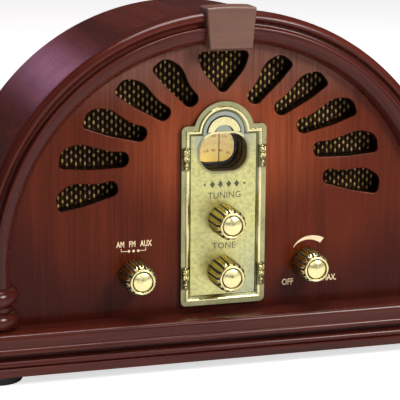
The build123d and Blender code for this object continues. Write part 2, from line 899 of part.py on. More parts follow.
# ---------------------------------------------------------------- faceplate
with BuildPart() as faceplate:
    with BuildSketch(upright(0)):
        add(plate_outline(0))
    extrude(amount=plate_band)
    with BuildSketch(upright(-plate_band)):
        add(plate_outline(band_width))
    extrude(amount=plate_bead - plate_band)
    with BuildSketch(upright(-plate_bead)):
        add(plate_outline(band_width + bead_width))
    slope_angle = math.degrees(math.atan(slope_width / (plate_bead - plate_field)))
    extrude(amount=plate_field - plate_bead, taper=slope_angle, mode=Mode.SUBTRACT)
    chamfer(faceplate.faces().filter_by(Axis.Y).sort_by(Axis.Y)[0].edges(), 0.45)
    with BuildSketch(upright(-plate_field)):
        add(window_outline(window_lip_width))
    extrude(amount=window_lip_height)
    with BuildSketch(upright(-plate_field)):
        with BuildLine():
            CenterArc((0, crescent_centre), crescent_radius, 8, 164)
            CenterArc((0, crescent_centre - 1.6), crescent_radius - crescent_width + 0.8, 18, 144)
            arcs = [edge for edge in edges()]
            Line(arcs[0] @ 0, arcs[1] @ 0)
            Line(arcs[0] @ 1, arcs[1] @ 1)
        make_face()
    extrude(amount=crescent_height)
    with BuildSketch(upright(0)):
        add(window_outline(0))
        with Locations((0, tone_height), tuning_spot):
            Circle(bushing_radius + glue_gap)
    extrude(amount=plate_bead, mode=Mode.SUBTRACT)

with BuildPart() as faceplate_clasps:
    clasp_x = plate_width / 2 - band_width + 0.2
    for middle, length in clasp_heights:
        for side in (-1, 1):
            with BuildSketch(
                Plane(
                    origin=(side * clasp_x, panel_y - plate_bead, base_top + middle),
                    x_dir=(1, 0, 0),
                    z_dir=(0, -1, 0),
                )
            ):
                with BuildLine():
                    Line((0, -length / 2), (0, length / 2))
                    ThreePointArc((0, length / 2), (1.3, length * 0.44), (0.9, length * 0.33))
                    ThreePointArc((0.9, length * 0.33), (1.9, length * 0.25), (1.1, length * 0.15))
                    ThreePointArc((1.1, length * 0.15), (clasp_radius, 0), (1.1, -length * 0.15))
                    ThreePointArc((1.1, -length * 0.15), (1.9, -length * 0.25), (0.9, -length * 0.33))
                    ThreePointArc((0.9, -length * 0.33), (1.3, -length * 0.44), (0, -length / 2))
                make_face()
            revolve(axis=Axis((side * clasp_x, panel_y - plate_bead, 0), (0, 0, 1)))
    split(bisect_by=Plane(origin=(0, panel_y - plate_bead, 0), z_dir=(0, -1, 0)), keep=Keep.TOP)

# ---------------------------------------------------------------- dial window
with BuildPart() as dial_well:
    with BuildSketch(upright(0)):
        add(window_outline(well_wall + well_flange))
    extrude(amount=-well_flange_thickness)
    with BuildSketch(upright(0)):
        add(window_outline(well_wall))
    extrude(amount=-well_length)
    with BuildSketch(upright(0)):
        add(window_outline(0.3))
    extrude(amount=-lens_depth - lens_thickness, mode=Mode.SUBTRACT)
    with BuildSketch(upright(lens_depth + lens_thickness)):
        add(window_outline(-0.3))
    extrude(amount=lens_depth + lens_thickness + well_lip_thickness - well_length, mode=Mode.SUBTRACT)
    with BuildSketch(upright(lens_depth + lens_thickness)):
        add(window_outline(-well_lip))
    extrude(amount=-well_length, mode=Mode.SUBTRACT)

with BuildPart() as dial_lens:
    with BuildSketch(upright(lens_depth)):
        add(window_outline(0.3 - glue_gap))
    extrude(amount=-lens_thickness)

with BuildPart() as dial_cursor:
    with BuildSketch(upright(lens_depth)):
        with Locations((0, window_centre)):
            Rectangle(cursor_width, window_height - 0.4)
    extrude(amount=cursor_thickness)

# ---------------------------------------------------------------- dial drive
capacitor_front = bracket_depth + bracket_thickness
capacitor_back = capacitor_front + capacitor_length
vane_first = capacitor_front + capacitor_sheet + 3.0

with BuildPart() as dial_gear:
    with BuildSketch(upright(gear_front)):
        with Locations((0, dial_height)):
            add(gear_outline(dial_teeth, 270 + 180 / dial_teeth))
    extrude(amount=-gear_thickness)
    with BuildSketch(upright(gear_back)):
        with Locations((0, dial_height)):
            Circle(hub_radius)
    extrude(amount=-(disc_depth - gear_back))
    with BuildSketch(upright(disc_depth)):
        with Locations((0, dial_height)):
            Circle(hub_seat)
    extrude(amount=-disc_thickness)
    with BuildSketch(upright(gear_front)):
        with Locations((0, dial_height)):
            Circle(shaft_radius + shaft_clearance)
            with PolarLocations(7.6, 5, start_angle=90):
                Circle(1.6)
    extrude(amount=-(gear_back - gear_front), mode=Mode.SUBTRACT)
    with BuildSketch(upright(gear_front)):
        with Locations((0, dial_height)):
            Circle(shaft_radius + shaft_clearance)
    extrude(amount=-(disc_depth + disc_thickness - gear_front), mode=Mode.SUBTRACT)

with BuildPart() as dial_disc:
    with BuildSketch(upright(disc_depth)):
        with Locations((0, dial_height)):
            Circle(disc_radius)
            Circle(hub_seat + shaft_clearance, mode=Mode.SUBTRACT)
    extrude(amount=-disc_thickness)

with BuildPart() as dial_spindle:
    with BuildSketch(upright(gear_front)):
        with Locations((0, dial_height)):
            Circle(shaft_radius)
    extrude(amount=-(capacitor_back - gear_front))
    for vane in range(vane_count):
        with BuildSketch(upright(vane_first + vane * vane_pitch)):
            with Locations((0, dial_height)):
                Circle(vane_radius)
                with Locations((0, -vane_radius)):
                    Rectangle(2 * vane_radius, 2 * vane_radius, mode=Mode.SUBTRACT)
                Circle(shaft_radius + 1.0)
        extrude(amount=-vane_thickness)

with BuildPart() as tuning_capacitor:
    for depth in (capacitor_front, capacitor_back - capacitor_sheet):
        with BuildSketch(upright(depth)):
            with Locations((0, dial_height)):
                Rectangle(2 * capacitor_half, 2 * capacitor_half)
                Circle(shaft_radius + shaft_clearance, mode=Mode.SUBTRACT)
        extrude(amount=-capacitor_sheet)
    with BuildSketch(upright(capacitor_front)):
        with Locations((0, dial_height - capacitor_half)):
            Rectangle(
                2 * capacitor_half, capacitor_sheet, align=(Align.CENTER, Align.MIN)
            )
    extrude(amount=-capacitor_length)
    with BuildSketch(upright(capacitor_front)):
        with Locations((-capacitor_half + 2.4, dial_height)):
            with GridLocations(0.1, 22.0, 1, 2):
                Circle(1.2)
    extrude(amount=-capacitor_length)
    for vane in range(vane_count - 1):
        with BuildSketch(upright(vane_first + (vane + 0.5) * vane_pitch)):
            with Locations((-capacitor_half + 1.0, dial_height)):
                Rectangle(11.6, 25.0, align=(Align.MIN, Align.CENTER))
        extrude(amount=-vane_thickness)

with BuildPart() as tuning_bracket:
    with BuildSketch(upright(bracket_depth)):
        with Locations((0, (bracket_bottom + bracket_top) / 2)):
            RectangleRounded(2 * bracket_half_width, bracket_top - bracket_bottom, 4.0)
        with Locations((0, dial_height)):
            Circle(shaft_radius + 1.0, mode=Mode.SUBTRACT)
        with Locations((0, window_centre)):
            RectangleRounded(lamp_window_width, lamp_window_height, 3.0, mode=Mode.SUBTRACT)
        with Locations(*bracket_posts_spots):
            Circle(screw_radius, mode=Mode.SUBTRACT)
    extrude(amount=-bracket_thickness)

with BuildPart() as bracket_posts:
    with BuildSketch(upright(panel_thickness)):
        with Locations(*bracket_posts_spots):
            RegularPolygon(post_radius, 6)
    extrude(amount=-post_length)
    with BuildSketch(upright(bracket_depth)):
        with Locations(*bracket_posts_spots):
            Circle(screw_radius - screw_clearance)
    extrude(amount=-bracket_thickness)
    with BuildSketch(upright(bracket_depth + bracket_thickness)):
        with Locations(*bracket_posts_spots):
            Circle(screw_head_radius)
    extrude(amount=-screw_head_height)

with BuildPart() as lamp_holder:
    holder_bottom = window_centre + lamp_window_height / 2 + 3.0
    holder_height = 7.5
    lamp_depth = bracket_depth + bracket_thickness + 7.5
    with BuildSketch(upright(bracket_depth + bracket_thickness)):
        with Locations((0, holder_bottom)):
            Rectangle(16.0, holder_height, align=(Align.CENTER, Align.MIN))
    extrude(amount=-15.0)
    with BuildSketch(Plane(origin=(0, panel_y + lamp_depth, base_top + holder_bottom))):
        Circle(lamp_radius + shaft_clearance)
    extrude(amount=5.0, mode=Mode.SUBTRACT)

with BuildPart() as dial_lamp:
    cap_top = holder_bottom + 4.8
    bulb_centre = holder_bottom - bulb_reach
    bulb_tip = bulb_centre - (lamp_radius**2 - dome_flat**2) ** 0.5
    with BuildSketch(upright(lamp_depth)):
        with BuildLine():
            Polyline((0, bulb_tip), (0, cap_top), (lamp_radius, cap_top), (lamp_radius, bulb_centre))
            ThreePointArc(
                (lamp_radius, bulb_centre),
                (lamp_radius * 0.5**0.5, bulb_centre - lamp_radius * 0.5**0.5),
                (dome_flat, bulb_tip),
            )
            Line((dome_flat, bulb_tip), (0, bulb_tip))
        make_face()
    revolve(axis=Axis((0, panel_y + lamp_depth, 0), (0, 0, 1)))

# ---------------------------------------------------------------- controls
with BuildPart() as tuning_bushing:
    with BuildSketch(upright(0)):
        with Locations(tuning_spot):
            Circle(bush_radius)
    extrude(amount=-panel_thickness)
    with BuildSketch(upright(panel_thickness)):
        with Locations(tuning_spot):
            Circle(bush_flange)
    extrude(amount=-bush_flange_thickness)
    with BuildSketch(upright(0)):
        with Locations(tuning_spot):
            Circle(shaft_radius + shaft_clearance)
    extrude(amount=-panel_thickness - bush_flange_thickness, mode=Mode.SUBTRACT)

with BuildPart() as tuning_shaft:
    shaft_front = -plate_field - knob_gap - knob_bore_depth
    with BuildSketch(upright(shaft_front)):
        with Locations(tuning_spot):
            Circle(shaft_radius)
    extrude(amount=-(gear_front - gear_gap - shaft_front))
    with BuildSketch(upright(gear_front - gear_gap)):
        with Locations(tuning_spot):
            Circle(gear_module * (pinion_teeth / 2 - root_share) - neck_inset)
    extrude(amount=-(gear_thickness + gear_gap + 0.5))
    with BuildSketch(upright(gear_front)):
        with Locations(tuning_spot):
            add(gear_outline(pinion_teeth, 90))
    extrude(amount=-gear_thickness)


def control_body(x, height, surface):
    """Rotary control: round case, threaded bush and three solder tags."""
    nose = surface + nut_thickness + 0.4
    with BuildPart() as body:
        with BuildSketch(upright(control_setback)):
            with Locations((x, height)):
                Circle(control_radius)
        extrude(amount=-control_depth)
        with BuildSketch(upright(control_setback)):
            with Locations((x, height)):
                Circle(bushing_radius)
        extrude(amount=control_setback + nose)
        with BuildSketch(upright(control_setback + control_depth - 2.0)):
            with Locations((x, height - control_radius)):
                with GridLocations(4.5, 0.1, 3, 1):
                    Rectangle(1.6, 5.0)
        extrude(amount=-0.8)
        with BuildSketch(upright(-nose)):
            with Locations((x, height)):
                Circle(shaft_radius + shaft_clearance)
        extrude(amount=-(nose + control_setback + control_depth - 1.5), mode=Mode.SUBTRACT)
    return body


def control_shaft(x, height, surface):
    """Plain shaft from inside the control to the knob's bore."""
    front = -surface - knob_gap - knob_bore_depth
    with BuildPart() as shaft:
        with BuildSketch(upright(front)):
            with Locations((x, height)):
                Circle(shaft_radius)
        extrude(amount=-(control_setback + control_depth - 2.0 - front))
    return shaft


def knob(x, height, surface):
    """Fluted brass knob: slightly tapered barrel, front ring and shallow pointed dome."""
    back = -surface - knob_gap
    barrel = back - 16.2
    ring = back - 19.4
    front = back - knob_length
    with BuildPart() as body:
        with BuildSketch(turning_plane(x, height)):
            with BuildLine():
                Polyline(
                    (0, back),
                    (knob_radius - 0.5, back),
                    (knob_radius, back - 0.5),
                    (knob_radius - 0.4, barrel),
                    (knob_ring_radius + 0.4, barrel - 1.4),
                    (knob_ring_radius - 0.3, barrel - 1.4),
                    (knob_ring_radius - 0.3, barrel - 2.0),
                    (knob_ring_radius, barrel - 2.2),
                    (knob_ring_radius, ring),
                )
                ThreePointArc(
                    (knob_ring_radius, ring),
                    (knob_ring_radius - 0.75, ring - 0.75),
                    (knob_ring_radius - 1.5, ring),
                )
                Polyline(
                    (knob_ring_radius - 1.5, ring),
                    (knob_ring_radius - 1.5, ring + 1.4),
                    (knob_dome_radius, ring + 1.4),
                    (knob_dome_radius, ring - 0.1),
                )
                ThreePointArc(
                    (knob_dome_radius, ring - 0.1),
                    (knob_dome_radius * 0.5, front + 0.5),
                    (dome_flat, front),
                )
                Polyline((dome_flat, front), (0, front), (0, back))
            make_face()
        revolve(axis=turning_axis(x, height))
        with BuildSketch(upright(back)):
            with Locations((x, height)):
                with PolarLocations(knob_radius - flute_depth, knob_flutes, start_angle=90):
                    Rectangle(2 * flute_depth, flute_width, align=(Align.MIN, Align.CENTER))
        extrude(amount=back - barrel + 1.5, mode=Mode.SUBTRACT)
        with BuildSketch(upright(back)):
            with Locations((x, height)):
                Circle(knob_nut_recess)
        extrude(amount=nut_thickness + 1.4, mode=Mode.SUBTRACT)
        with BuildSketch(upright(back)):
            with Locations((x, height)):
                Circle(shaft_radius + shaft_clearance)
        extrude(amount=knob_bore_depth + 0.4, mode=Mode.SUBTRACT)
    return body


knobs = {name: knob(*spot) for name, spot in knob_spots.items()}
control_names = {"band": "band_switch", "volume": "volume_control", "tone": "tone_control"}
controls = {name: control_body(*knob_spots[name]) for name in control_names}
shafts = {name: control_shaft(*knob_spots[name]) for name in control_names}

with BuildPart() as control_nuts:
    for name in control_names:
        x, height, surface = knob_spots[name]
        with BuildSketch(upright(-surface)):
            with Locations((x, height)):
                RegularPolygon(nut_across / 2, 6, major_radius=False)
                Circle(bushing_radius + shaft_clearance, mode=Mode.SUBTRACT)
        extrude(amount=nut_thickness)

# ---------------------------------------------------------------- back
rear_radius = shell_bore - glue_gap
rear_spots = [polar(rear_radius - batten_width / 2, turn) for turn in (20, 60, 90, 120, 160)]
rear_spots += [(side * (rear_radius - batten_width / 2), 10.0) for side in (-1, 1)]

with BuildPart() as rear_batten:
    with BuildSketch(upright(rear_face - batten_thickness)):
        add(arch_outline(rear_radius))
        add(arch_outline(rear_radius - batten_width), mode=Mode.SUBTRACT)
        with Locations(*rear_spots):
            Circle(screw_radius, mode=Mode.SUBTRACT)
    extrude(amount=-batten_thickness)

with BuildPart() as rear_panel:
    with BuildSketch(upright(rear_face)):
        add(arch_outline(rear_radius))
        with Locations((0, vent_centre)):
            with GridLocations(vent_pitch, 1, vent_count, 1):
                SlotOverall(vent_height, vent_width, rotation=90, mode=Mode.SUBTRACT)
        with Locations((inlet_x, socket_height)):
            Circle(inlet_radius + glue_gap, mode=Mode.SUBTRACT)
        with Locations((aux_x, socket_height)):
            Circle(aux_radius + glue_gap, mode=Mode.SUBTRACT)
        with Locations(*rear_spots):
            Circle(screw_radius + screw_clearance, mode=Mode.SUBTRACT)
    extrude(amount=-rear_thickness)

rear_screws = screws(rear_spots, rear_face + rear_thickness, 10.0)


def socket(x, nose_radius, bore, body_depth):
    """Panel socket: moulded body behind the rear panel and a round nose through it."""
    with BuildPart() as piece:
        with BuildSketch(upright(rear_face)):
            with Locations((x, socket_height)):
                Rectangle(socket_body, socket_body)
        extrude(amount=body_depth)
        with BuildSketch(upright(rear_face)):
            with Locations((x, socket_height)):
                Circle(nose_radius)
        extrude(amount=-socket_nose)
        with BuildSketch(upright(rear_face + socket_nose)):
            with Locations((x, socket_height)):
                Circle(bore)
        extrude(amount=body_depth + socket_nose - 2.0, mode=Mode.SUBTRACT)
    return piece


dc_inlet = socket(inlet_x, inlet_radius, inlet_bore, inlet_length)
aux_jack = socket(aux_x, aux_radius, aux_bore, aux_length)

# ---------------------------------------------------------------- circuit board
standoff_spots = [
    (x, panel_y + board_front + board_depth / 2 + y)
    for x in (-board_width / 2 + 6, board_width / 2 - 6)
    for y in (-board_depth / 2 + 6, board_depth / 2 - 6)
]
board_z = base_top + standoff_height
board_top = board_z + board_sheet
board_middle = panel_y + board_front + board_depth / 2

with BuildPart() as board_standoffs:
    with BuildSketch(Plane.XY.offset(base_top)):
        with Locations(*standoff_spots):
            Circle(standoff_radius)
    extrude(amount=standoff_height)
    with BuildSketch(Plane.XY.offset(board_z)):
        with Locations(*standoff_spots):
            Circle(screw_radius - screw_clearance)
    extrude(amount=board_sheet)
    with BuildSketch(Plane.XY.offset(board_top)):
        with Locations(*standoff_spots):
            Circle(2.6)
    extrude(amount=1.2)

with BuildPart() as circuit_board:
    with BuildSketch(Plane.XY.offset(board_z)):
        with Locations((0, board_middle)):
            Rectangle(board_width, board_depth)
        with Locations(*standoff_spots):
            Circle(screw_radius, mode=Mode.SUBTRACT)
    extrude(amount=board_sheet)

can_spots = [(-34, -8), (-22, -8), (-34, 8), (30, 12)]
chip_spots = [(-6, 0), (12, -8)]
coil_spots = [(12, 10), (24, -4)]
heatsink_spot = (44, -2)
with BuildPart() as board_components:
    with BuildSketch(Plane.XY.offset(board_top)):
        for x, y in can_spots:
            with Locations((x, board_middle + y)):
                Circle(4.0)
    extrude(amount=13.0)
    fillet(board_components.edges().group_by(Axis.Z)[-1], 0.8)
    with BuildSketch(Plane.XY.offset(board_top)):
        for x, y in chip_spots:
            with Locations((x, board_middle + y)):
                Rectangle(14.0, 8.0)
    extrude(amount=3.0)
    with BuildSketch(Plane.XY.offset(board_top)):
        for x, y in coil_spots:
            with Locations((x, board_middle + y)):
                RectangleRounded(8.0, 8.0, 1.0)
    extrude(amount=9.0)
    with BuildSketch(Plane.XY.offset(board_top)):
        with Locations((heatsink_spot[0], board_middle + heatsink_spot[1])):
            Rectangle(14.0, 24.0)
            with GridLocations(1, 4.0, 1, 5):
                with Locations((2.0, 0)):
                    Rectangle(10.0, 2.2, mode=Mode.SUBTRACT)
    extrude(amount=16.0)

# ---------------------------------------------------------------- aerial
with BuildPart() as ferrite_rod:
    with BuildSketch(Plane(origin=(0, panel_y + rod_depth, base_top + rod_height), z_dir=(1, 0, 0))):
        Circle(rod_radius)
    extrude(amount=rod_length / 2, both=True)
    with BuildSketch(Plane(origin=(12, panel_y + rod_depth, base_top + rod_height), z_dir=(1, 0, 0))):
        Circle(rod_radius + 1.4)
    extrude(amount=12.0, both=True)

with BuildPart() as rod_clips:
    for side in (-1, 1):
        clip_plane = Plane(
            origin=(side * clip_x, panel_y + rod_depth, base_top + rod_height), z_dir=(1, 0, 0)
        )
        with BuildSketch(clip_plane):
            Circle(rod_radius + clip_wall)
        extrude(amount=clip_width / 2, both=True)
    arm_length = rod_depth - baffle_back
    with BuildSketch(upright(baffle_back)):
        with Locations((-clip_x, rod_height), (clip_x, rod_height)):
            Rectangle(clip_width, 4.0)
    extrude(amount=-arm_length)
    with BuildSketch(upright(baffle_back)):
        with Locations((-clip_x, rod_height), (clip_x, rod_height)):
            Rectangle(clip_width + 6.0, 14.0)
    extrude(amount=-2.0)
    with BuildSketch(Plane(origin=(0, panel_y + rod_depth, base_top + rod_height), z_dir=(1, 0, 0))):
        Circle(rod_radius + shaft_clearance)
    extrude(amount=clip_x + clip_width, both=True, mode=Mode.SUBTRACT)

# ---------------------------------------------------------------- hand over
pieces = {
    "base_top_board": base_top_board,
    "corner_blocks": corner_blocks,
    "rubber_feet": rubber_feet,
    "foot_screws": foot_screws,
    "cabinet_shell": cabinet_shell,
    "front_panel": front_panel,
    "arch_moulding_left": arch_moulding_left,
    "arch_moulding_right": arch_moulding_right,
    "keystone": keystone,
    "capital_left": capital_left,
    "capital_right": capital_right,
    "grille_cloth": grille_cloth,
    "speaker_baffle": speaker_baffle,
    "baffle_screws": baffle_screws,
    "speaker_screws": speaker_screws,
    "speaker_magnets": speaker_magnets,
    "faceplate": faceplate,
    "faceplate_clasps": faceplate_clasps,
    "dial_well": dial_well,
    "dial_lens": dial_lens,
    "dial_cursor": dial_cursor,
    "dial_gear": dial_gear,
    "dial_disc": dial_disc,
    "dial_spindle": dial_spindle,
    "tuning_capacitor": tuning_capacitor,
    "tuning_bracket": tuning_bracket,
    "bracket_posts": bracket_posts,
    "lamp_holder": lamp_holder,
    "dial_lamp": dial_lamp,
    "tuning_bushing": tuning_bushing,
    "tuning_shaft": tuning_shaft,
    "control_nuts": control_nuts,
    "rear_batten": rear_batten,
    "rear_panel": rear_panel,
    "rear_screws": rear_screws,
    "dc_inlet": dc_inlet,
    "aux_jack": aux_jack,
    "board_standoffs": board_standoffs,
    "circuit_board": circuit_board,
    "board_components": board_components,
    "ferrite_rod": ferrite_rod,
    "rod_clips": rod_clips,
}
for side, rail in plinth_rails.items():
    pieces[f"plinth_rail_{side}"] = rail
for side in ("left", "right"):
    pieces[f"speaker_frame_{side}"] = speaker_frames[side]
    pieces[f"speaker_cone_{side}"] = speaker_cones[side]
for name, piece in knobs.items():
    pieces[f"{name}_knob"] = piece
for name, node in control_names.items():
    pieces[node] = controls[name]
    pieces[f"{name}_shaft"] = shafts[name]

os.makedirs("parts", exist_ok=True)
for name, piece in pieces.items():
    piece.part.label = name
    export_step(piece.part, f"parts/{name}.step")
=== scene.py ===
import math

import bmesh
import bpy
from bpy.props import FloatProperty, FloatVectorProperty, IntProperty, PointerProperty
from mathutils import Matrix, Vector


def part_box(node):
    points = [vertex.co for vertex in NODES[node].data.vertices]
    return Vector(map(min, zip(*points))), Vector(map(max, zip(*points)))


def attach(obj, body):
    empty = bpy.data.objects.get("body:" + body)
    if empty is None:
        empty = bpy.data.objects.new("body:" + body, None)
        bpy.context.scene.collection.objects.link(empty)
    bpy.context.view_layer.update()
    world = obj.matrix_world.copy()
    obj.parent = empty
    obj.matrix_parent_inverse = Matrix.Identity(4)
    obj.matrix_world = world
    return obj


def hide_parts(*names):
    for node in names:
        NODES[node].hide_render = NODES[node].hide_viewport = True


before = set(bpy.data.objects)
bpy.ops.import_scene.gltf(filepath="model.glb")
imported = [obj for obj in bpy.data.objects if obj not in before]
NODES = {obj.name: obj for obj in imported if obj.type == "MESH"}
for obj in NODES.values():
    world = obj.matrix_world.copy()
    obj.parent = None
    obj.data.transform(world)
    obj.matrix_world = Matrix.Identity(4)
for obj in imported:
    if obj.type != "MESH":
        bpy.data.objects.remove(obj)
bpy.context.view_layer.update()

bl_info = {
    "name": "Cathedral table radio",
    "version": (1, 0, 0),
    "blender": (4, 5, 0),
    "location": "3D View > Sidebar > Radio",
    "description": "Finishes a round-arched wooden table radio: lacquer, cloth, brass, dial and lettering",
    "category": "Object",
}

PANEL_LOW, PANEL_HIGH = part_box("front_panel")
PANEL_Y = PANEL_LOW.y
BASE_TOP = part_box("base_top_board")[1].z
ARCH_Z = PANEL_HIGH.z - PANEL_HIGH.x
DISC_LOW, DISC_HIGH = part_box("dial_disc")
CLOTH_LOW, CLOTH_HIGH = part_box("grille_cloth")
UPRIGHT = Matrix.Rotation(math.radians(90), 4, "X")   # flat work stood up, its face to the front

# Faceplate
PLATE_FIELD = 0.0022                  # thickness of its flat field
PLATE_FACE = PANEL_Y - PLATE_FIELD
CRESCENT_Z = BASE_TOP + 0.1178        # centre of the crescent and the window's rings
CRESCENT_RINGS = (0.0113, 0.0060)     # radii of the painted shade lines round the crescent
CLASP_HEIGHTS = (0.1023, 0.0236)      # clasps' middles above the base
MARK_X = 0.0008                       # middle of the engraved words and diamonds
MARK_HEIGHT = 0.0847                  # row of diamonds above the base

# Knobs
FLUTES = 14
BARREL_START = 0.0032                 # fluted barrel behind the knob's front

# Notch in the grille cloth behind the faceplate
NOTCH_HALF = 0.0425
NOTCH_TOP = BASE_TOP + 0.1265
SLUB_MARGIN = 0.002                   # slubs kept this far inside the sheet's edges

# Dial rings: radius inside the rim, first and last figure, how many, digits rounded, share of the size
SCALE_RINGS = ((0.0064, 530, 1700, 30, -1, 0.9), (0.0158, 88, 108, 30, 0, 1.0))
MARK_RING = 0.0108                    # divisions inside the rim

GRAIN_PER_RADIAN = 0.15               # metres of grain for each radian round the arch


# ---------------------------------------------------------------- properties
def colour(name, text, default):
    """A linear colour the user can change."""
    return FloatVectorProperty(
        name=name, description=text, subtype="COLOR", size=3, min=0.0, max=1.0, default=default
    )


def length(name, text, default):
    """A length in metres."""
    return FloatProperty(
        name=name, description=text, unit="LENGTH", subtype="DISTANCE", min=0.0, default=default
    )


class RADIO_PG_wood(bpy.types.PropertyGroup):
    panel_lit: colour("Panel middle", "Lacquered veneer at the middle of the front", (0.235, 0.052, 0.017))
    panel_mid: colour("Panel field", "Lacquered veneer between middle and edge", (0.088, 0.014, 0.004))
    panel_deep: colour("Panel edge", "Shaded burst at the front's edges", (0.044, 0.007, 0.004))
    trim_light: colour("Trim light", "Lighter figure in the mouldings", (0.072, 0.012, 0.007))
    trim_deep: colour("Trim deep", "Darker figure in the mouldings", (0.022, 0.004, 0.003))
    key_light: colour("Keystone", "Satin face of the keystone", (0.150, 0.068, 0.045))
    gloss: FloatProperty(
        name="Lacquer", description="Strength of the clear coat", subtype="FACTOR",
        min=0.0, max=1.0, default=0.12,
    )


class RADIO_PG_brass(bpy.types.PropertyGroup):
    field: colour("Faceplate", "Stippled brass field", (0.70, 0.68, 0.29))
    # Also the painted highlight on the knobs' faces towards the front.
    rim: colour("Rims", "Rubbed bright rims and beads", (0.98, 0.90, 0.48))
    patina: colour("Patina", "Grey-blue tarnish around the window", (0.34, 0.39, 0.37))
    knob: colour("Knobs", "Polished knob brass", (0.78, 0.62, 0.20))
    # Painted shade: this black is painted into the knobs' flutes and ring groove, along the faceplate's
    # raised parts and clasps, and on its edges as a gap shadow.
    groove: colour("Grooves", "Blackened grooves", (0.012, 0.009, 0.004))


class RADIO_PG_cloth(bpy.types.PropertyGroup):
    pitch_x: length("Column spacing", "Between neighbouring columns of slubs", 0.00294)
    pitch_z: length("Slub spacing", "Between slubs in one column", 0.0053)
    slub_width: length("Slub width", "Widest part of one gold slub", 0.00150)
    slub_height: length("Slub height", "Length of one gold slub", 0.0026)
    thickness: length("Thickness", "Cloth thickness", 0.0004)
    ground: colour("Ground", "Black-brown ground weave", (0.012, 0.0035, 0.002))
    gold: colour("Gold", "Metallic gold yarn", (0.62, 0.46, 0.11))


class RADIO_PG_dial(bpy.types.PropertyGroup):
    marks: IntProperty(name="Marks", description="Fine divisions around the dial", min=12, default=120)
    figure_size: length("Figures", "Height of the scale's figures", 0.0028)
    # Painted glow: the scale's emission stands in for the dial lamp's light through it.
    glow: FloatProperty(name="Glow", description="Brightness of the lit scale", min=0.0, default=0.55)
    scale: colour("Scale", "Warm lit scale", (0.95, 0.66, 0.14))
    ink: colour("Ink", "Printed figures", (0.16, 0.13, 0.03))


class RADIO_PG_print(bpy.types.PropertyGroup):
    cream: colour("Lettering", "Printed cream lettering", (0.86, 0.66, 0.42))
    letter: length("Letters", "Height of the panel's letters", 0.0040)
    film: length("Film", "Thickness of the printed film", 0.00006)


class RADIO_PG_stage(bpy.types.PropertyGroup):
    azimuth: FloatProperty(
        name="Azimuth", description="Camera turned round the radio", subtype="ANGLE",
        default=math.radians(17.5937),
    )
    elevation: FloatProperty(
        name="Elevation", description="Camera above the horizon", subtype="ANGLE",
        default=math.radians(12.7374),
    )
    roll: FloatProperty(
        name="Roll", description="Camera turned about its line of sight", subtype="ANGLE",
        default=math.radians(0.4792),
    )
    distance: length("Distance", "Camera to the point it looks at", 1.18723)
    lens: FloatProperty(name="Lens", description="Focal length in millimetres", min=1.0, default=165.83)


GROUPS = {
    "radio_wood": RADIO_PG_wood,
    "radio_brass": RADIO_PG_brass,
    "radio_cloth": RADIO_PG_cloth,
    "radio_dial": RADIO_PG_dial,
    "radio_print": RADIO_PG_print,
    "radio_stage": RADIO_PG_stage,
}


# ---------------------------------------------------------------- node helpers
def add_node(tree, kind, inputs=None, **settings):
    """A shader node with its inputs set or linked."""
    made = tree.nodes.new(kind)
    for key, value in settings.items():
        setattr(made, key, value)
    for key, value in (inputs or {}).items():
        if isinstance(value, bpy.types.NodeSocket):
            tree.links.new(value, made.inputs[key])
        else:
            made.inputs[key].default_value = value
    return made


def math_node(tree, operation, first, second=0.0, clamp=False):
    """Output of a Math node."""
    made = add_node(tree, "ShaderNodeMath", {0: first, 1: second}, operation=operation, use_clamp=clamp)
    return made.outputs[0]


def times(tree, first, second):
    """Product of two values."""
    return math_node(tree, "MULTIPLY", first, second)


def plus(tree, first, second, clamp=False):
    """Sum of two values."""
    return math_node(tree, "ADD", first, second, clamp)


def minus(tree, first, second):
    """Second value taken from the first."""
    return math_node(tree, "SUBTRACT", first, second)


def absolute(tree, value):
    """Value without its sign."""
    return math_node(tree, "ABSOLUTE", value)


def larger(tree, first, second, clamp=False):
    """The larger of two values."""
    return math_node(tree, "MAXIMUM", first, second, clamp)


def hypotenuse(tree, first, second):
    """Distance over two lengths at right angles."""
    squares = plus(tree, math_node(tree, "POWER", first, 2), math_node(tree, "POWER", second, 2))
    return math_node(tree, "SQRT", squares)


def average(tree, first, second, share):
    """Two values averaged, the first by its share."""
    return plus(tree, times(tree, first, share), times(tree, second, 1.0 - share))


def shaded(tint, share):
    """Colour made darker or lighter."""
    return tuple(c * share for c in tint)


def vector_node(tree, operation, first, second=(0.0, 0.0, 0.0)):
    """Output of a Vector Math node."""
    made = add_node(tree, "ShaderNodeVectorMath", {0: first, 1: second}, operation=operation)
    return made.outputs["Value" if operation in ("LENGTH", "DISTANCE", "DOT_PRODUCT") else "Vector"]


def band(tree, value, low, high, out_low=0.0, out_high=1.0):
    """Value mapped smoothly from one span to another."""
    made = add_node(
        tree,
        "ShaderNodeMapRange",
        {"Value": value, "From Min": low, "From Max": high, "To Min": out_low, "To Max": out_high},
        interpolation_type="SMOOTHSTEP",
    )
    return made.outputs[0]


def blend(tree, mask, first, second, mode="MIX"):
    """Colour mixed from two by a mask."""
    made = add_node(tree, "ShaderNodeMix", data_type="RGBA", blend_type=mode)
    for index, value in ((0, mask), (6, first), (7, second)):
        if isinstance(value, bpy.types.NodeSocket):
            tree.links.new(value, made.inputs[index])
        elif index == 0:
            made.inputs[0].default_value = value
        else:
            made.inputs[index].default_value = (*value[:3], 1.0)
    return made.outputs[2]


def place(tree):
    """Object coordinates as a vector."""
    return add_node(tree, "ShaderNodeTexCoord").outputs["Object"]


def axes(tree, vector):
    """A vector's x, y and z."""
    return add_node(tree, "ShaderNodeSeparateXYZ", {0: vector}).outputs


def facing_front(tree):
    """One where the surface faces straight ahead or back, none where it faces sideways."""
    normal = add_node(tree, "ShaderNodeNewGeometry").outputs["Normal"]
    return absolute(tree, axes(tree, normal)[1])


def noise(tree, vector, scale, detail=3.0, rough=0.5, distortion=0.0):
    """Noise value at a vector."""
    made = add_node(
        tree,
        "ShaderNodeTexNoise",
        {"Vector": vector, "Scale": scale, "Detail": detail, "Roughness": rough, "Distortion": distortion},
    )
    return made.outputs[0]


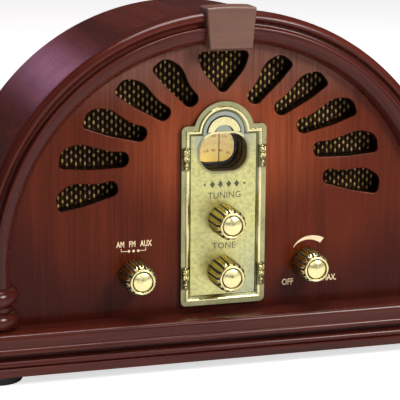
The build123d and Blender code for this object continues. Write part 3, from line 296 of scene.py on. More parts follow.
def stretched(tree, vector, scale=(1.0, 1.0, 1.0), turn=(0.0, 0.0, 0.0), shift=(0.0, 0.0, 0.0)):
    """Vector moved, turned and scaled."""
    made = add_node(
        tree, "ShaderNodeMapping", {"Vector": vector, "Scale": scale, "Rotation": turn, "Location": shift}
    )
    return made.outputs[0]


def new_group(name, inputs, outputs):
    """Empty node group with float or vector inputs and float or colour outputs."""
    tree = bpy.data.node_groups.new(name, "ShaderNodeTree")
    for label, kind, default in inputs:
        socket = tree.interface.new_socket(name=label, in_out="INPUT", socket_type=kind)
        if default is not None:
            socket.default_value = default
    for label, kind in outputs:
        tree.interface.new_socket(name=label, in_out="OUTPUT", socket_type=kind)
    return tree, tree.nodes.new("NodeGroupInput").outputs, tree.nodes.new("NodeGroupOutput")


def timber_group():
    """Timber grain running along the vector's z: broad figure, fine streaks, pores and relief."""
    tree, given, out = new_group(
        "Timber grain",
        [("Vector", "NodeSocketVector", None), ("Figure Scale", "NodeSocketFloat", 55.0),
         ("Streak Scale", "NodeSocketFloat", 700.0)],
        [("Figure", "NodeSocketFloat"), ("Streaks", "NodeSocketFloat"), ("Pores", "NodeSocketFloat"),
         ("Height", "NodeSocketFloat")],
    )
    broad = noise(tree, stretched(tree, given["Vector"], (1, 1, 0.09)), given["Figure Scale"], 4, 0.6, 0.6)
    fine = noise(tree, stretched(tree, given["Vector"], (1, 1, 0.02)), given["Streak Scale"], 4, 0.62)
    double = times(tree, given["Streak Scale"], 2.2)
    pore = noise(tree, stretched(tree, given["Vector"], (1, 1, 0.035)), double, 2, 0.5)
    tree.links.new(band(tree, broad, 0.32, 0.68), out.inputs["Figure"])
    tree.links.new(band(tree, fine, 0.30, 0.70), out.inputs["Streaks"])
    pores = band(tree, pore, 0.60, 0.72)
    tree.links.new(pores, out.inputs["Pores"])
    relief = minus(tree, times(tree, fine, 0.25), pores)
    tree.links.new(relief, out.inputs["Height"])
    return tree


def handling_group():
    """Uneven gloss from handling and polishing: a roughness between two values."""
    tree, given, out = new_group(
        "Handling wear",
        [("Vector", "NodeSocketVector", None), ("Scale", "NodeSocketFloat", 30.0),
         ("Smooth", "NodeSocketFloat", 0.2), ("Rough", "NodeSocketFloat", 0.4)],
        [("Roughness", "NodeSocketFloat"), ("Smudge", "NodeSocketFloat")],
    )
    cloud = noise(tree, given["Vector"], given["Scale"], 5, 0.6)
    speck = noise(tree, given["Vector"], times(tree, given["Scale"], 23.0), 2, 0.5)
    mask = band(tree, average(tree, cloud, speck, 0.75), 0.36, 0.64)
    mixed = add_node(
        tree, "ShaderNodeMapRange", {"Value": mask, "To Min": given["Smooth"], "To Max": given["Rough"]}
    )
    tree.links.new(mixed.outputs[0], out.inputs["Roughness"])
    tree.links.new(mask, out.inputs["Smudge"])
    return tree


def casting_group():
    """Fine stipple of cast or blasted metal."""
    tree, given, out = new_group(
        "Casting stipple",
        [("Vector", "NodeSocketVector", None), ("Scale", "NodeSocketFloat", 900.0)],
        [("Height", "NodeSocketFloat"), ("Pits", "NodeSocketFloat")],
    )
    grit = noise(tree, given["Vector"], given["Scale"], 3, 0.65)
    cells = add_node(tree, "ShaderNodeTexVoronoi", {"Vector": given["Vector"], "Scale": given["Scale"]})
    height = plus(tree, grit, times(tree, cells.outputs["Distance"], 0.5))
    tree.links.new(height, out.inputs["Height"])
    tree.links.new(band(tree, grit, 0.56, 0.70), out.inputs["Pits"])
    return tree


def grouped(tree, name, **inputs):
    """Outputs of a placed node group; underscores stand for spaces."""
    spaced = {key.replace("_", " "): value for key, value in inputs.items()}
    return add_node(tree, "ShaderNodeGroup", spaced, node_tree=bpy.data.node_groups[name]).outputs


def grained(tree, vector, figure=55.0, streak=700.0):
    """Timber grain along a vector's z."""
    return grouped(tree, "Timber grain", Vector=vector, Figure_Scale=figure, Streak_Scale=streak)


def handled(tree, vector, scale, smooth, rough):
    """Handling wear with its two roughnesses."""
    return grouped(tree, "Handling wear", Vector=vector, Scale=scale, Smooth=smooth, Rough=rough)


def stippled(tree, vector, scale):
    """Casting stipple at a scale."""
    return grouped(tree, "Casting stipple", Vector=vector, Scale=scale)


def new_material(name):
    """Material with an empty tree but for its Principled shader; returns material, tree, shader."""
    material = bpy.data.materials.new(name)
    material.use_nodes = True
    tree = material.node_tree
    tree.nodes.clear()
    shader = tree.nodes.new("ShaderNodeBsdfPrincipled")
    output = tree.nodes.new("ShaderNodeOutputMaterial")
    tree.links.new(shader.outputs[0], output.inputs[0])
    return material, tree, shader


def feed(tree, shader, **sockets):
    """Sets or links shader sockets; underscores stand for spaces."""
    for key, value in sockets.items():
        socket = shader.inputs[key.replace("_", " ")]
        if isinstance(value, bpy.types.NodeSocket):
            tree.links.new(value, socket)
        elif isinstance(value, (tuple, list)) or hasattr(value, "r"):
            socket.default_value = (*tuple(value)[:3], 1.0)
        else:
            socket.default_value = value


def bump(tree, height, distance, strength=1.0):
    """Normal from a height, with its depth in metres."""
    made = add_node(tree, "ShaderNodeBump", {"Height": height, "Distance": distance, "Strength": strength})
    return made.outputs[0]


def dress(node_names, material):
    """Gives CAD nodes their material."""
    for name in node_names:
        mesh = NODES[name].data
        mesh.materials.clear()
        mesh.materials.append(material)


# ---------------------------------------------------------------- wood
GRAIN_TURNS = {"x": (0.0, math.radians(90), 0.0), "y": (math.radians(90), 0.0, 0.0), "z": (0.0, 0.0, 0.0)}


def grain_vector(tree, grain, vector):
    """Vector whose z runs along the grain; arch bends the grain round the arch."""
    if grain != "arch":
        return stretched(tree, vector, turn=GRAIN_TURNS[grain])
    x, y, z = axes(tree, vector)
    rise = minus(tree, z, ARCH_Z)
    turn = math_node(tree, "ARCTAN2", x, plus(tree, rise, 0.0001))
    along = times(tree, turn, GRAIN_PER_RADIAN)
    return add_node(tree, "ShaderNodeCombineXYZ", {0: hypotenuse(tree, x, rise), 1: y, 2: along}).outputs[0]


def trim_lacquer(name, grain, wood, lift=1.0, gloss=1.0):
    """Dark red-brown lacquered hardwood with its grain along one direction."""
    material, tree, shader = new_material(name)
    vector = place(tree)
    timber = grained(tree, grain_vector(tree, grain, vector), 38.0)
    wear = handled(tree, vector, 22.0, 0.20, 0.34)
    light = shaded(wood.trim_light, lift)
    deep = shaded(wood.trim_deep, lift)
    body = blend(tree, average(tree, timber["Figure"], timber["Streaks"], 0.6), deep, light)
    body = blend(tree, times(tree, timber["Pores"], 0.45), body, shaded(deep, 0.35))
    feed(
        tree, shader, Base_Color=body, Roughness=wear["Roughness"], Coat_Weight=wood.gloss * gloss,
        Coat_Roughness=0.22, Coat_IOR=1.5, Specular_IOR_Level=0.06,
        Normal=bump(tree, timber["Height"], 0.00002, 0.35),
    )
    return material


def burst_colour(tree, vector, wood):
    """Shaded burst of the front: lit middle, deeper edges and a pale painted reflection across the crown."""
    x, _, z = axes(tree, vector)
    across = math_node(tree, "DIVIDE", minus(tree, x, 0.008), 0.150)
    height = math_node(tree, "DIVIDE", minus(tree, z, BASE_TOP + 0.112), 0.095)
    cloud = noise(tree, stretched(tree, vector, (1, 1, 0.35)), 14.0, 3, 0.55)
    drift = times(tree, minus(tree, cloud, 0.5), 0.30)
    reach = plus(tree, hypotenuse(tree, across, height), drift)
    inner = blend(tree, band(tree, reach, 0.12, 0.66), wood.panel_lit, wood.panel_mid)
    field = blend(tree, band(tree, reach, 0.85, 1.25), inner, wood.panel_deep)
    # Painted reflection: a pinkish-grey veil over the top of the front stands in for the lacquer's
    # reflection.
    painted_reflection = times(tree, band(tree, z, BASE_TOP + 0.128, BASE_TOP + 0.166), 0.55)
    return blend(tree, painted_reflection, field, (0.190, 0.105, 0.085))


def panel_lacquer(wood):
    """Front veneer: vertical grain, shaded burst, painted shade on the walls inside the openings."""
    material, tree, shader = new_material("Front veneer")
    vector = place(tree)
    timber = grained(tree, vector, 60.0, 820.0)
    wear = handled(tree, vector, 26.0, 0.26, 0.40)
    field = burst_colour(tree, vector, wood)
    shade = average(tree, timber["Streaks"], timber["Figure"], 0.55)
    darker = blend(tree, 1.0, field, (0.62, 0.52, 0.50), "MULTIPLY")
    lighter = blend(tree, 1.0, field, (1.22, 1.18, 1.10), "MULTIPLY")
    grain = blend(tree, shade, darker, lighter)
    grain = blend(tree, times(tree, timber["Pores"], 0.35), grain, wood.panel_deep)
    facing = facing_front(tree)
    # Painted shade: the walls inside the openings face sideways and are painted almost black.
    wall = band(tree, facing, 0.25, 0.75, 1.0, 0.0)
    grain_and_wall_shade = blend(tree, wall, grain, (0.006, 0.002, 0.0015))
    feed(
        tree, shader, Base_Color=grain_and_wall_shade, Roughness=wear["Roughness"],
        Coat_Weight=times(tree, band(tree, facing, 0.2, 0.6), wood.gloss), Coat_Roughness=0.18, Coat_IOR=1.5,
        Specular_IOR_Level=0.05, Normal=bump(tree, timber["Height"], 0.00002, 0.3),
    )
    return material


def keystone_lacquer(wood):
    """Satin keystone with its grain across."""
    material, tree, shader = new_material("Keystone satin")
    vector = place(tree)
    timber = grained(tree, grain_vector(tree, "x", vector), 45.0, 600.0)
    wear = handled(tree, vector, 60.0, 0.30, 0.42)
    body = blend(tree, timber["Figure"], shaded(wood.key_light, 0.72), wood.key_light)
    body = blend(tree, times(tree, timber["Streaks"], 0.35), body, shaded(wood.key_light, 0.6))
    feed(
        tree, shader, Base_Color=body, Roughness=wear["Roughness"], Coat_Weight=wood.gloss * 0.5,
        Coat_Roughness=0.25, Normal=bump(tree, timber["Height"], 0.00002, 0.3),
    )
    return material


class RADIO_OT_wood(bpy.types.Operator):
    """Lacquers the cabinet, the mouldings, the base and the keystone"""

    bl_idname = "radio.wood"
    bl_label = "Lacquer the cabinet"

    def execute(self, context):
        wood = context.scene.radio_wood
        dress(["front_panel"], panel_lacquer(wood))
        dress(["keystone"], keystone_lacquer(wood))
        dress(
            ["arch_moulding_left", "arch_moulding_right"],
            trim_lacquer("Arch moulding lacquer", "arch", wood, lift=1.25, gloss=2.6),
        )
        dress(["capital_left", "capital_right"], trim_lacquer("Capital lacquer", "z", wood, gloss=3.2))
        dress(["cabinet_shell"], trim_lacquer("Cabinet side lacquer", "y", wood, lift=1.25, gloss=3.4))
        dress(
            ["base_top_board", "plinth_rail_front", "plinth_rail_rear"],
            trim_lacquer("Base lacquer", "x", wood, lift=1.05, gloss=3.4),
        )
        dress(
            ["plinth_rail_left", "plinth_rail_right"],
            trim_lacquer("Side rail lacquer", "y", wood, lift=1.05, gloss=3.4),
        )
        return {"FINISHED"}


# ---------------------------------------------------------------- brass
def metal_body(name, base, smooth, rough, scale, stipple=0.0, stipple_scale=900.0, grime=None):
    """Metal with uneven polish, grime in its hollows and an optional cast stipple."""
    material, tree, shader = new_material(name)
    vector = place(tree)
    wear = handled(tree, vector, scale, smooth, rough)
    cast = stippled(tree, vector, stipple_scale)
    body = blend(tree, wear["Smudge"], base, shaded(base, 0.72))
    if grime:
        body = blend(tree, times(tree, cast["Pits"], 0.5), body, grime)
    feed(tree, shader, Base_Color=body, Metallic=1.0, Roughness=wear["Roughness"])
    if stipple:
        feed(tree, shader, Normal=bump(tree, cast["Height"], stipple, 0.6))
    return material


def plate_tarnish(tree, vector):
    """Patina's mask: round the window and at the lower right, with a drifting edge."""
    window = vector_node(tree, "DISTANCE", stretched(tree, vector, (1, 0, 1)), (0.0, 0.0, BASE_TOP + 0.118))
    low_corner = (0.030, 0.0, (BASE_TOP + 0.008) * 0.6)
    corner = vector_node(tree, "DISTANCE", stretched(tree, vector, (1, 0, 0.6)), low_corner)
    drift = times(tree, minus(tree, noise(tree, vector, 70.0, 4, 0.6), 0.5), 0.7)
    near_window = plus(tree, band(tree, window, 0.012, 0.028, 1.0, 0.0), drift, True)
    near_corner = plus(tree, band(tree, corner, 0.006, 0.036, 1.0, 0.0), drift, True)
    return window, larger(tree, near_window, times(tree, near_corner, 0.6), True)


def plate_hollows(tree, vector):
    """Painted shade on the plate: lines at the feet of the raised parts, round the crescent and beside the
    clasps.
    """
    x, y, z = axes(tree, vector)
    foot_start = band(tree, y, PLATE_FACE - 0.00003, PLATE_FACE - 0.00015)
    shade_lines = times(tree, foot_start, band(tree, y, PLATE_FACE - 0.00055, PLATE_FACE - 0.00035))
    crescent = vector_node(tree, "DISTANCE", stretched(tree, vector, (1, 0, 1)), (0.0, 0.0, CRESCENT_Z))
    above = band(tree, z, CRESCENT_Z, CRESCENT_Z + 0.0008)
    flush = band(tree, y, PLATE_FACE - 0.0004, PLATE_FACE - 0.0002)
    for ring in CRESCENT_RINGS:
        edge = band(tree, absolute(tree, minus(tree, crescent, ring)), 0.0007, 0.0003)
        shade_lines = larger(tree, shade_lines, times(tree, times(tree, edge, above), flush))
    side = absolute(tree, x)
    beside = times(tree, band(tree, side, 0.0222, 0.0230), band(tree, side, 0.0290, 0.0282))
    for middle in CLASP_HEIGHTS:
        away = absolute(tree, minus(tree, z, BASE_TOP + middle))
        shade = times(tree, beside, band(tree, away, 0.0084, 0.0068))
        shade_lines = larger(tree, shade_lines, times(tree, shade, 0.85))
    return times(tree, shade_lines, 0.9)


def faceplate_brass(brass):
    """Antiqued plate: stippled field, bright rims, patina, painted shade along its raised parts and clasps
    and a painted gap shadow at its edges.
    """
    material, tree, shader = new_material("Faceplate brass")
    vector = place(tree)
    y = axes(tree, vector)[1]
    cast = stippled(tree, vector, 1100.0)
    wear = handled(tree, vector, 45.0, 0.30, 0.46)
    window, tarnish = plate_tarnish(tree, vector)
    blotch = band(tree, noise(tree, vector, 420.0, 4, 0.7), 0.42, 0.66)
    mottle = plus(tree, times(tree, cast["Pits"], 0.55), times(tree, blotch, 0.40), True)
    field = blend(tree, mottle, brass.field, shaded(brass.field, 0.42))
    field = blend(tree, times(tree, tarnish, 0.9), field, brass.patina)
    band_tone = blend(tree, wear["Smudge"], (0.47, 0.46, 0.25), (0.31, 0.31, 0.16))
    rim = blend(tree, wear["Smudge"], brass.rim, shaded(brass.rim, 0.80))
    stepped = band(tree, y, PLATE_FACE - 0.00045, PLATE_FACE - 0.00058)
    body = blend(tree, stepped, field, blend(tree, band(tree, window, 0.0140, 0.0132), band_tone, rim))
    raised = band(tree, y, PLATE_FACE - 0.0013, PLATE_FACE - 0.0018)
    body = blend(tree, raised, body, rim)
    # Painted shade along the raised parts, round the crescent and beside the clasps.
    body = blend(tree, plate_hollows(tree, vector), body, brass.groove)
    # Painted shadow: the plate's edge next to the panel is painted black for the shadow in the gap.
    low = band(tree, y, PANEL_Y - 0.0003, PANEL_Y - 0.0021, 1.0, 0.0)
    body = blend(tree, low, body, brass.groove)
    feed(
        tree, shader, Base_Color=body, Metallic=1.0,
        Roughness=minus(tree, wear["Roughness"], times(tree, raised, 0.16)),
        Normal=bump(tree, cast["Height"], 0.00012, 0.7),
    )
    return material


def flute_mask(tree, flat, reach):
    """Mask of a knob's grooves, where shade is painted: narrow bands spaced evenly round its axis."""
    x, _, z = axes(tree, flat)
    pitch = 2 * math.pi / FLUTES
    turns = math_node(tree, "DIVIDE", math_node(tree, "ARCTAN2", z, x), pitch)
    share = math_node(tree, "FRACT", plus(tree, turns, 101.0))      # kept above zero for the fraction
    aside = minus(tree, 0.5, absolute(tree, minus(tree, share, 0.5)))
    across = times(tree, times(tree, aside, pitch), reach)
    return band(tree, across, 0.00100, 0.00080)


def knob_brass(name, node, brass):
    """Turned and fluted brass with painted light: painted shade in the flutes and the ring's groove, painted
    shade on the barrel's sides and a painted highlight on the faces towards the front.
    """
    low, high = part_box(node)
    middle = (low + high) / 2
    material, tree, shader = new_material(name)
    vector = place(tree)
    flat = stretched(tree, vector, (1, 0, 1), shift=(-middle.x, 0.0, -middle.z))
    reach = vector_node(tree, "LENGTH", flat)
    depth = minus(tree, axes(tree, vector)[1], low.y)
    wear = handled(tree, vector, 160.0, 0.24, 0.36)
    barrel = band(tree, depth, BARREL_START - 0.0001, BARREL_START + 0.0001)
    # Painted shade in the flutes and in the ring groove at the front.
    groove = times(tree, flute_mask(tree, flat, reach), barrel)
    ring = times(tree, band(tree, reach, 0.0059, 0.0061), band(tree, reach, 0.0068, 0.0066))
    inset = times(tree, ring, band(tree, depth, 0.0022, 0.0026))
    dark = larger(tree, groove, inset, True)
    facing = facing_front(tree)
    # Painted shade: the barrel's sideways faces take a darker olive.
    side_shade = times(tree, barrel, band(tree, facing, 0.30, 0.12))
    body = blend(tree, wear["Smudge"], brass.knob, shaded(brass.knob, 0.80))
    body = blend(tree, times(tree, side_shade, 0.85), body, (0.62, 0.48, 0.09))
    # Painted highlight: faces towards the front take the pale rim colour.
    body = blend(tree, times(tree, band(tree, facing, 0.45, 0.75), 0.85), body, brass.rim)
    body = blend(tree, dark, body, brass.groove)
    lathe = add_node(tree, "ShaderNodeCombineXYZ", {0: reach, 1: depth}).outputs[0]
    feed(
        tree, shader, Base_Color=body, Metallic=minus(tree, 1.0, dark),
        Roughness=plus(tree, wear["Roughness"], times(tree, dark, 0.4), True),
        Normal=bump(tree, noise(tree, lathe, 4200.0, 1, 0.5), 0.000012, 0.5),
    )
    return material


# Clasp's turned lumps: height, half width and half height; and the heights of its scrolls
CLASP_LUMPS = (
    (0.0064, 0.0008, 0.0009), (0.0045, 0.0020, 0.0014), (0.0027, 0.0013, 0.0009), (0.0006, 0.0022, 0.0017),
    (-0.0017, 0.0012, 0.0005), (-0.0037, 0.0018, 0.0015), (-0.0061, 0.0009, 0.0012),
)
CLASP_SCROLLS = (0.0053, 0.0036, 0.0012, -0.0001)
CLASP_INSET = 0.0023                  # clasp's middle inside its outer edge


def clasp_lump(mesh, centre, size, turn=0.0):
    """One rounded lump of a cast clasp."""
    bmesh.ops.create_uvsphere(
        mesh,
        u_segments=16,
        v_segments=10,
        radius=1.0,
        matrix=Matrix.Translation(centre) @ Matrix.Rotation(turn, 4, "Y") @ Matrix.Diagonal((*size, 1.0)),
    )


def cast_clasp(mesh, seat):
    """One clasp: a stack of turned lumps with pairs of scrolls in front."""
    for rise, wide, tall in CLASP_LUMPS:
        clasp_lump(mesh, seat + Vector((0.0, 0.0004, rise)), (wide, wide * 0.95, tall))
    for rise in CLASP_SCROLLS:
        for across in (-0.0012, 0.0012):
            centre = seat + Vector((across, -0.0010, rise))
            clasp_lump(mesh, centre, (0.0007, 0.0006, 0.0011), math.copysign(0.6, across))


def finished(name, mesh, material, body, smooth=True):
    """Object from a bmesh, riding on a CAD body, with its place in its mesh."""
    bmesh.ops.recalc_face_normals(mesh, faces=mesh.faces)
    data = bpy.data.meshes.new(name)
    mesh.to_mesh(data)
    mesh.free()
    for face in data.polygons:
        face.use_smooth = smooth
    data.materials.append(material)
    made = bpy.data.objects.new(name, data)
    bpy.context.scene.collection.objects.link(made)
    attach(made, body)
    return made


class RADIO_OT_brass(bpy.types.Operator):
    """Finishes the faceplate and the four knobs in antiqued and polished brass"""

    bl_idname = "radio.brass"
    bl_label = "Brass and knobs"

    def execute(self, context):
        brass = context.scene.radio_brass
        dress(["faceplate"], faceplate_brass(brass))
        for node in ("band_knob", "volume_knob", "tone_knob", "tuning_knob"):
            dress([node], knob_brass(f"Brass of {node.replace('_', ' ')}", node, brass))
        return {"FINISHED"}


class RADIO_OT_clasps(bpy.types.Operator):
    """Casts the four scrolled clasps that stand on the faceplate's edges"""

    bl_idname = "radio.clasps"
    bl_label = "Faceplate clasps"

    def execute(self, context):
        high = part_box("faceplate_clasps")[1]
        mesh = bmesh.new()
        for middle in CLASP_HEIGHTS:
            for side in (-1, 1):
                cast_clasp(mesh, Vector((side * (high.x - CLASP_INSET), high.y, BASE_TOP + middle)))
        material = metal_body(
            "Clasp brass", (0.62, 0.58, 0.27), 0.22, 0.36, 240.0, 0.00005, 1300.0, (0.03, 0.026, 0.01)
        )
        made = finished("cast_clasps", mesh, material, "cabinet")
        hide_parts("faceplate_clasps")
        return {"FINISHED"}


# ---------------------------------------------------------------- cloth
def ground_weave(cloth):
    """Dark ground cloth, with thin gold threads along its columns."""
    material, tree, shader = new_material("Grille cloth ground")
    vector = place(tree)
    threads = {"Vector": vector, "Distortion": 0.6, "Detail": 1.0}
    warp = add_node(tree, "ShaderNodeTexWave", {**threads, "Scale": 340.0}, bands_direction="X")
    weft = add_node(tree, "ShaderNodeTexWave", {**threads, "Scale": 400.0}, bands_direction="Z")
    weave = larger(tree, warp.outputs["Fac"], weft.outputs["Fac"])
    along = plus(tree, axes(tree, vector)[0], 100 * cloth.pitch_x)      # kept above zero for the fraction
    column = math_node(tree, "FRACT", math_node(tree, "DIVIDE", along, cloth.pitch_x))
    near = math_node(tree, "MINIMUM", column, minus(tree, 1.0, column))
    fleck = noise(tree, vector, 900.0, 2, 0.5)
    yarn = times(tree, band(tree, near, 0.20, 0.08), weave)
    thread = times(tree, yarn, band(tree, fleck, 0.35, 0.65))
    body = blend(tree, times(tree, weave, 0.6), shaded(cloth.ground, 0.4), shaded(cloth.ground, 2.2))
    body = blend(tree, times(tree, thread, 0.28), body, shaded(cloth.gold, 0.45))
    feed(
        tree, shader, Base_Color=body, Roughness=plus(tree, 0.72, times(tree, fleck, 0.2)),
        Specular_IOR_Level=0.1, Normal=bump(tree, weave, 0.00015, 0.8),
    )
    return material


def slub_yarn(cloth):
    """Twisted metallic yarn, some of it duller or more copper."""
    material, tree, shader = new_material("Gold slub yarn")
    vector = place(tree)
    tone = noise(tree, stretched(tree, vector, (1, 0, 1)), 75.0, 2, 0.5)
    dim = noise(tree, stretched(tree, vector, (1, 0, 1), shift=(0.4, 0, 0.1)), 240.0, 1, 0.5)
    slant = stretched(tree, vector, turn=(0, math.radians(35), 0))
    wave = add_node(
        tree, "ShaderNodeTexWave", {"Vector": slant, "Scale": 620.0, "Distortion": 0.4}, bands_direction="Z"
    )
    twist = wave.outputs["Fac"]
    body = blend(tree, band(tree, tone, 0.40, 0.62), cloth.gold, (0.58, 0.36, 0.15))
    body = blend(tree, band(tree, dim, 0.42, 0.62, 0.0, 0.85), body, shaded(cloth.gold, 0.35))
    body = blend(tree, times(tree, twist, 0.5), body, shaded(cloth.gold, 0.4))
    feed(
        tree, shader, Base_Color=body, Metallic=0.35, Roughness=plus(tree, 0.38, times(tree, dim, 0.25)),
        Sheen_Weight=0.2, Normal=bump(tree, twist, 0.00008, 0.8),
    )
    return material


def arched_sheet(radius, low, depth):
    """Flat arched sheet with the notch at its bottom, standing upright at one depth."""
    mesh = bmesh.new()
    upright = Matrix.Translation((0, depth, ARCH_Z)) @ UPRIGHT
    parts = ((-1.0, -NOTCH_HALF, low), (NOTCH_HALF, 1.0, low), (-NOTCH_HALF, NOTCH_HALF, NOTCH_TOP))
    for left, right, bottom in parts:
        made = bmesh.ops.create_circle(mesh, cap_ends=True, segments=160, radius=radius, matrix=upright)
        verts = made["verts"]
        cuts = (((left, 0, 0), (-1, 0, 0)), ((right, 0, 0), (1, 0, 0)), ((0, 0, bottom), (0, 0, -1)))
        for point, away in cuts:
            faces = {f for v in verts for f in v.link_faces}
            edges = {e for v in verts for e in v.link_edges}
            cut = bmesh.ops.bisect_plane(
                mesh, geom=[*verts, *edges, *faces], plane_co=point, plane_no=away, clear_outer=True
            )
            new = {g for g in cut["geom_cut"] if isinstance(g, bmesh.types.BMVert)}
            verts = [v for v in {*verts, *new} if v.is_valid]
    bmesh.ops.remove_doubles(mesh, verts=mesh.verts, dist=0.00001)
    bmesh.ops.triangulate(mesh, faces=mesh.faces)
    return mesh


def slub_row(mesh, cloth, row, start):
    """One slub of the first column, longer or shorter than its neighbours."""
    sway = 1.0 + 0.12 * math.sin(row * 78.233)
    size = Matrix.Diagonal((cloth.slub_width * sway, 0.0005, cloth.slub_height / sway, 1.0))
    placed = Matrix.Translation(start + Vector((0, 0, row * cloth.pitch_z))) @ size
    return bmesh.ops.create_uvsphere(mesh, u_segments=8, v_segments=5, radius=0.5, matrix=placed)["verts"]


def slub_columns(cloth, radius, low, half_width):
    """Gold slubs over the whole sheet, each second column half a step higher."""
    mesh = bmesh.new()
    rows = int((CLOTH_HIGH.z - low.z) / cloth.pitch_z) + 2
    first = [slub_row(mesh, cloth, row, Vector((0, low.y + 0.00012, low.z))) for row in range(rows)]
    columns = int(half_width / cloth.pitch_x) + 1
    for column in range(-columns, columns + 1):
        x = column * cloth.pitch_x
        lift = 0.5 * (column % 2) * cloth.pitch_z
        chosen = []
        for row in range(rows):
            z = low.z + row * cloth.pitch_z + lift
            inside = math.hypot(x, max(z - ARCH_Z, 0.0)) < radius - SLUB_MARGIN
            notched = abs(x) < NOTCH_HALF + SLUB_MARGIN and z < NOTCH_TOP + SLUB_MARGIN
            if inside and not notched and z > low.z + SLUB_MARGIN:
                chosen += first[row]
        faces = {f for v in chosen for f in v.link_faces}
        if faces:
            made = bmesh.ops.duplicate(mesh, geom=[*chosen, *faces])
            moved = [g for g in made["geom"] if isinstance(g, bmesh.types.BMVert)]
            bmesh.ops.translate(mesh, verts=moved, vec=(x, 0, lift))
    bmesh.ops.delete(mesh, geom=[v for group in first for v in group], context="VERTS")
    return mesh


class RADIO_OT_grille(bpy.types.Operator):
    """Stretches the patterned grille cloth behind the openings, with its raised gold slubs"""

    bl_idname = "radio.grille"
    bl_label = "Grille cloth"

    def execute(self, context):
        cloth = context.scene.radio_cloth
        low, high = CLOTH_LOW, CLOTH_HIGH
        radius = high.z - ARCH_Z
        mesh = arched_sheet(radius, low.z, low.y + 0.0003)
        area = sum(f.calc_area() for f in mesh.faces)
        sheet = finished("grille_sheet", mesh, ground_weave(cloth), "cabinet", smooth=False)
        wall = sheet.modifiers.new("Thickness", "SOLIDIFY")
        wall.thickness = cloth.thickness
        wall.offset = 0.0
        slubs = slub_columns(cloth, radius, low, high.x)
        yarn = finished("gold_slubs", slubs, slub_yarn(cloth), "cabinet")
        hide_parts("grille_cloth")
        return {"FINISHED"}


# ---------------------------------------------------------------- dial
def text_mesh(words, size, depth, place_matrix, spacing=1.0, resolution=3, bold=0.0):
    """Mesh of extruded lettering, put in place."""
    curve = bpy.data.curves.new("lettering", "FONT")
    curve.body = words
    curve.size = size
    curve.extrude = depth / 2
    curve.align_x = "CENTER"
    curve.align_y = "CENTER"
    curve.space_character = spacing
    curve.offset = bold
    curve.resolution_u = resolution
    carrier = bpy.data.objects.new("lettering", curve)
    mesh = bpy.data.meshes.new_from_object(carrier)
    bpy.data.objects.remove(carrier)
    bpy.data.curves.remove(curve)
    mesh.transform(place_matrix)
    return mesh


def gather(mesh, source):
    """Adds a mesh to a bmesh and drops the source."""
    mesh.from_mesh(source)
    bpy.data.meshes.remove(source)


def scale_plastic(dial, centre_z, radius):
    """Warm dial plastic with a painted glow for the lamp behind it, paler towards its rim."""
    material, tree, shader = new_material("Lit dial plastic")
    vector = place(tree)
    cloud = noise(tree, vector, 120.0, 3, 0.5)
    reach = vector_node(tree, "LENGTH", stretched(tree, vector, (1, 0, 1), shift=(0, 0, -centre_z)))
    warm = blend(tree, band(tree, reach, radius - 0.026, radius - 0.004), dial.scale, (0.95, 0.72, 0.34))
    warm = blend(tree, times(tree, cloud, 0.35), warm, (0.78, 0.42, 0.12))
    feed(
        tree, shader, Base_Color=warm, Emission_Color=warm, Emission_Strength=dial.glow,
        Roughness=plus(tree, 0.35, times(tree, cloud, 0.2)),
    )
    return material


def scale_ink(dial):
    """Printed figures, with the same painted glow as the plastic."""
    material, tree, shader = new_material("Dial ink")
    uneven = noise(tree, place(tree), 2500.0, 1)
    feed(
        tree, shader, Base_Color=blend(tree, uneven, dial.ink, shaded(dial.ink, 0.5)),
        Roughness=0.6, Emission_Color=dial.ink, Emission_Strength=dial.glow,
    )
    return material


def window_acrylic():
    """Clear window, a little smeared."""
    material, tree, shader = new_material("Dial window acrylic")
    wear = handled(tree, place(tree), 90.0, 0.02, 0.08)
    feed(
        tree, shader, Base_Color=(0.98, 0.98, 0.95), Roughness=wear["Roughness"],
        Transmission_Weight=1.0, IOR=1.2,
    )
    return material


def on_ring(ring, turn, centre_z):
    """Place on the dial's face at a radius and a turn, its height along the radius."""
    front = DISC_LOW.y - 0.00008
    spot = Matrix.Translation((ring * math.sin(turn), front, centre_z + ring * math.cos(turn)))
    return spot @ Matrix.Rotation(turn, 4, "Y")


def ring_of_figures(mesh, ring, figures, size, centre_z):
    """Figures printed round the dial, their feet towards its middle."""
    for index, figure in enumerate(figures):
        at = on_ring(ring, 2 * math.pi * index / len(figures), centre_z)
        gather(mesh, text_mesh(figure, size, 0.0001, at @ UPRIGHT, resolution=2))


def ring_of_marks(mesh, ring, count, centre_z):
    """Fine divisions round the dial, each fourth one longer."""
    for index in range(count):
        tall = 0.0034 if index % 4 == 0 else 0.0018
        at = on_ring(ring, 2 * math.pi * index / count, centre_z)
        bmesh.ops.create_cube(mesh, size=1.0, matrix=at @ Matrix.Diagonal((0.00016, 0.0001, tall, 1.0)))


class RADIO_OT_dial(bpy.types.Operator):
    """Gives the dial a painted glow and prints its rings of figures and marks, which turn with the disc"""

    bl_idname = "radio.dial"
    bl_label = "Dial scale"

    def execute(self, context):
        dial = context.scene.radio_dial
        centre_z = (DISC_LOW.z + DISC_HIGH.z) / 2
        radius = DISC_HIGH.x
        dress(["dial_disc"], scale_plastic(dial, centre_z, radius))
        mesh = bmesh.new()
        for inset, first, last, count, digits, share in SCALE_RINGS:
            steps = [first + (last - first) * index / (count - 1) for index in range(count)]
            figures = [str(int(round(step, digits))) for step in steps]
            ring_of_figures(mesh, radius - inset, figures, dial.figure_size * share, centre_z)
        ring_of_marks(mesh, radius - MARK_RING, dial.marks, centre_z)
        finished("dial_figures", mesh, scale_ink(dial), "dial", smooth=False)
        dress(["dial_lens"], window_acrylic())
        well = plain_body("Window well", (0.016, 0.006, 0.003), (0.008, 0.003, 0.002), 0.42, 0.62)
        dress(["dial_well", "dial_cursor"], well)
        return {"FINISHED"}


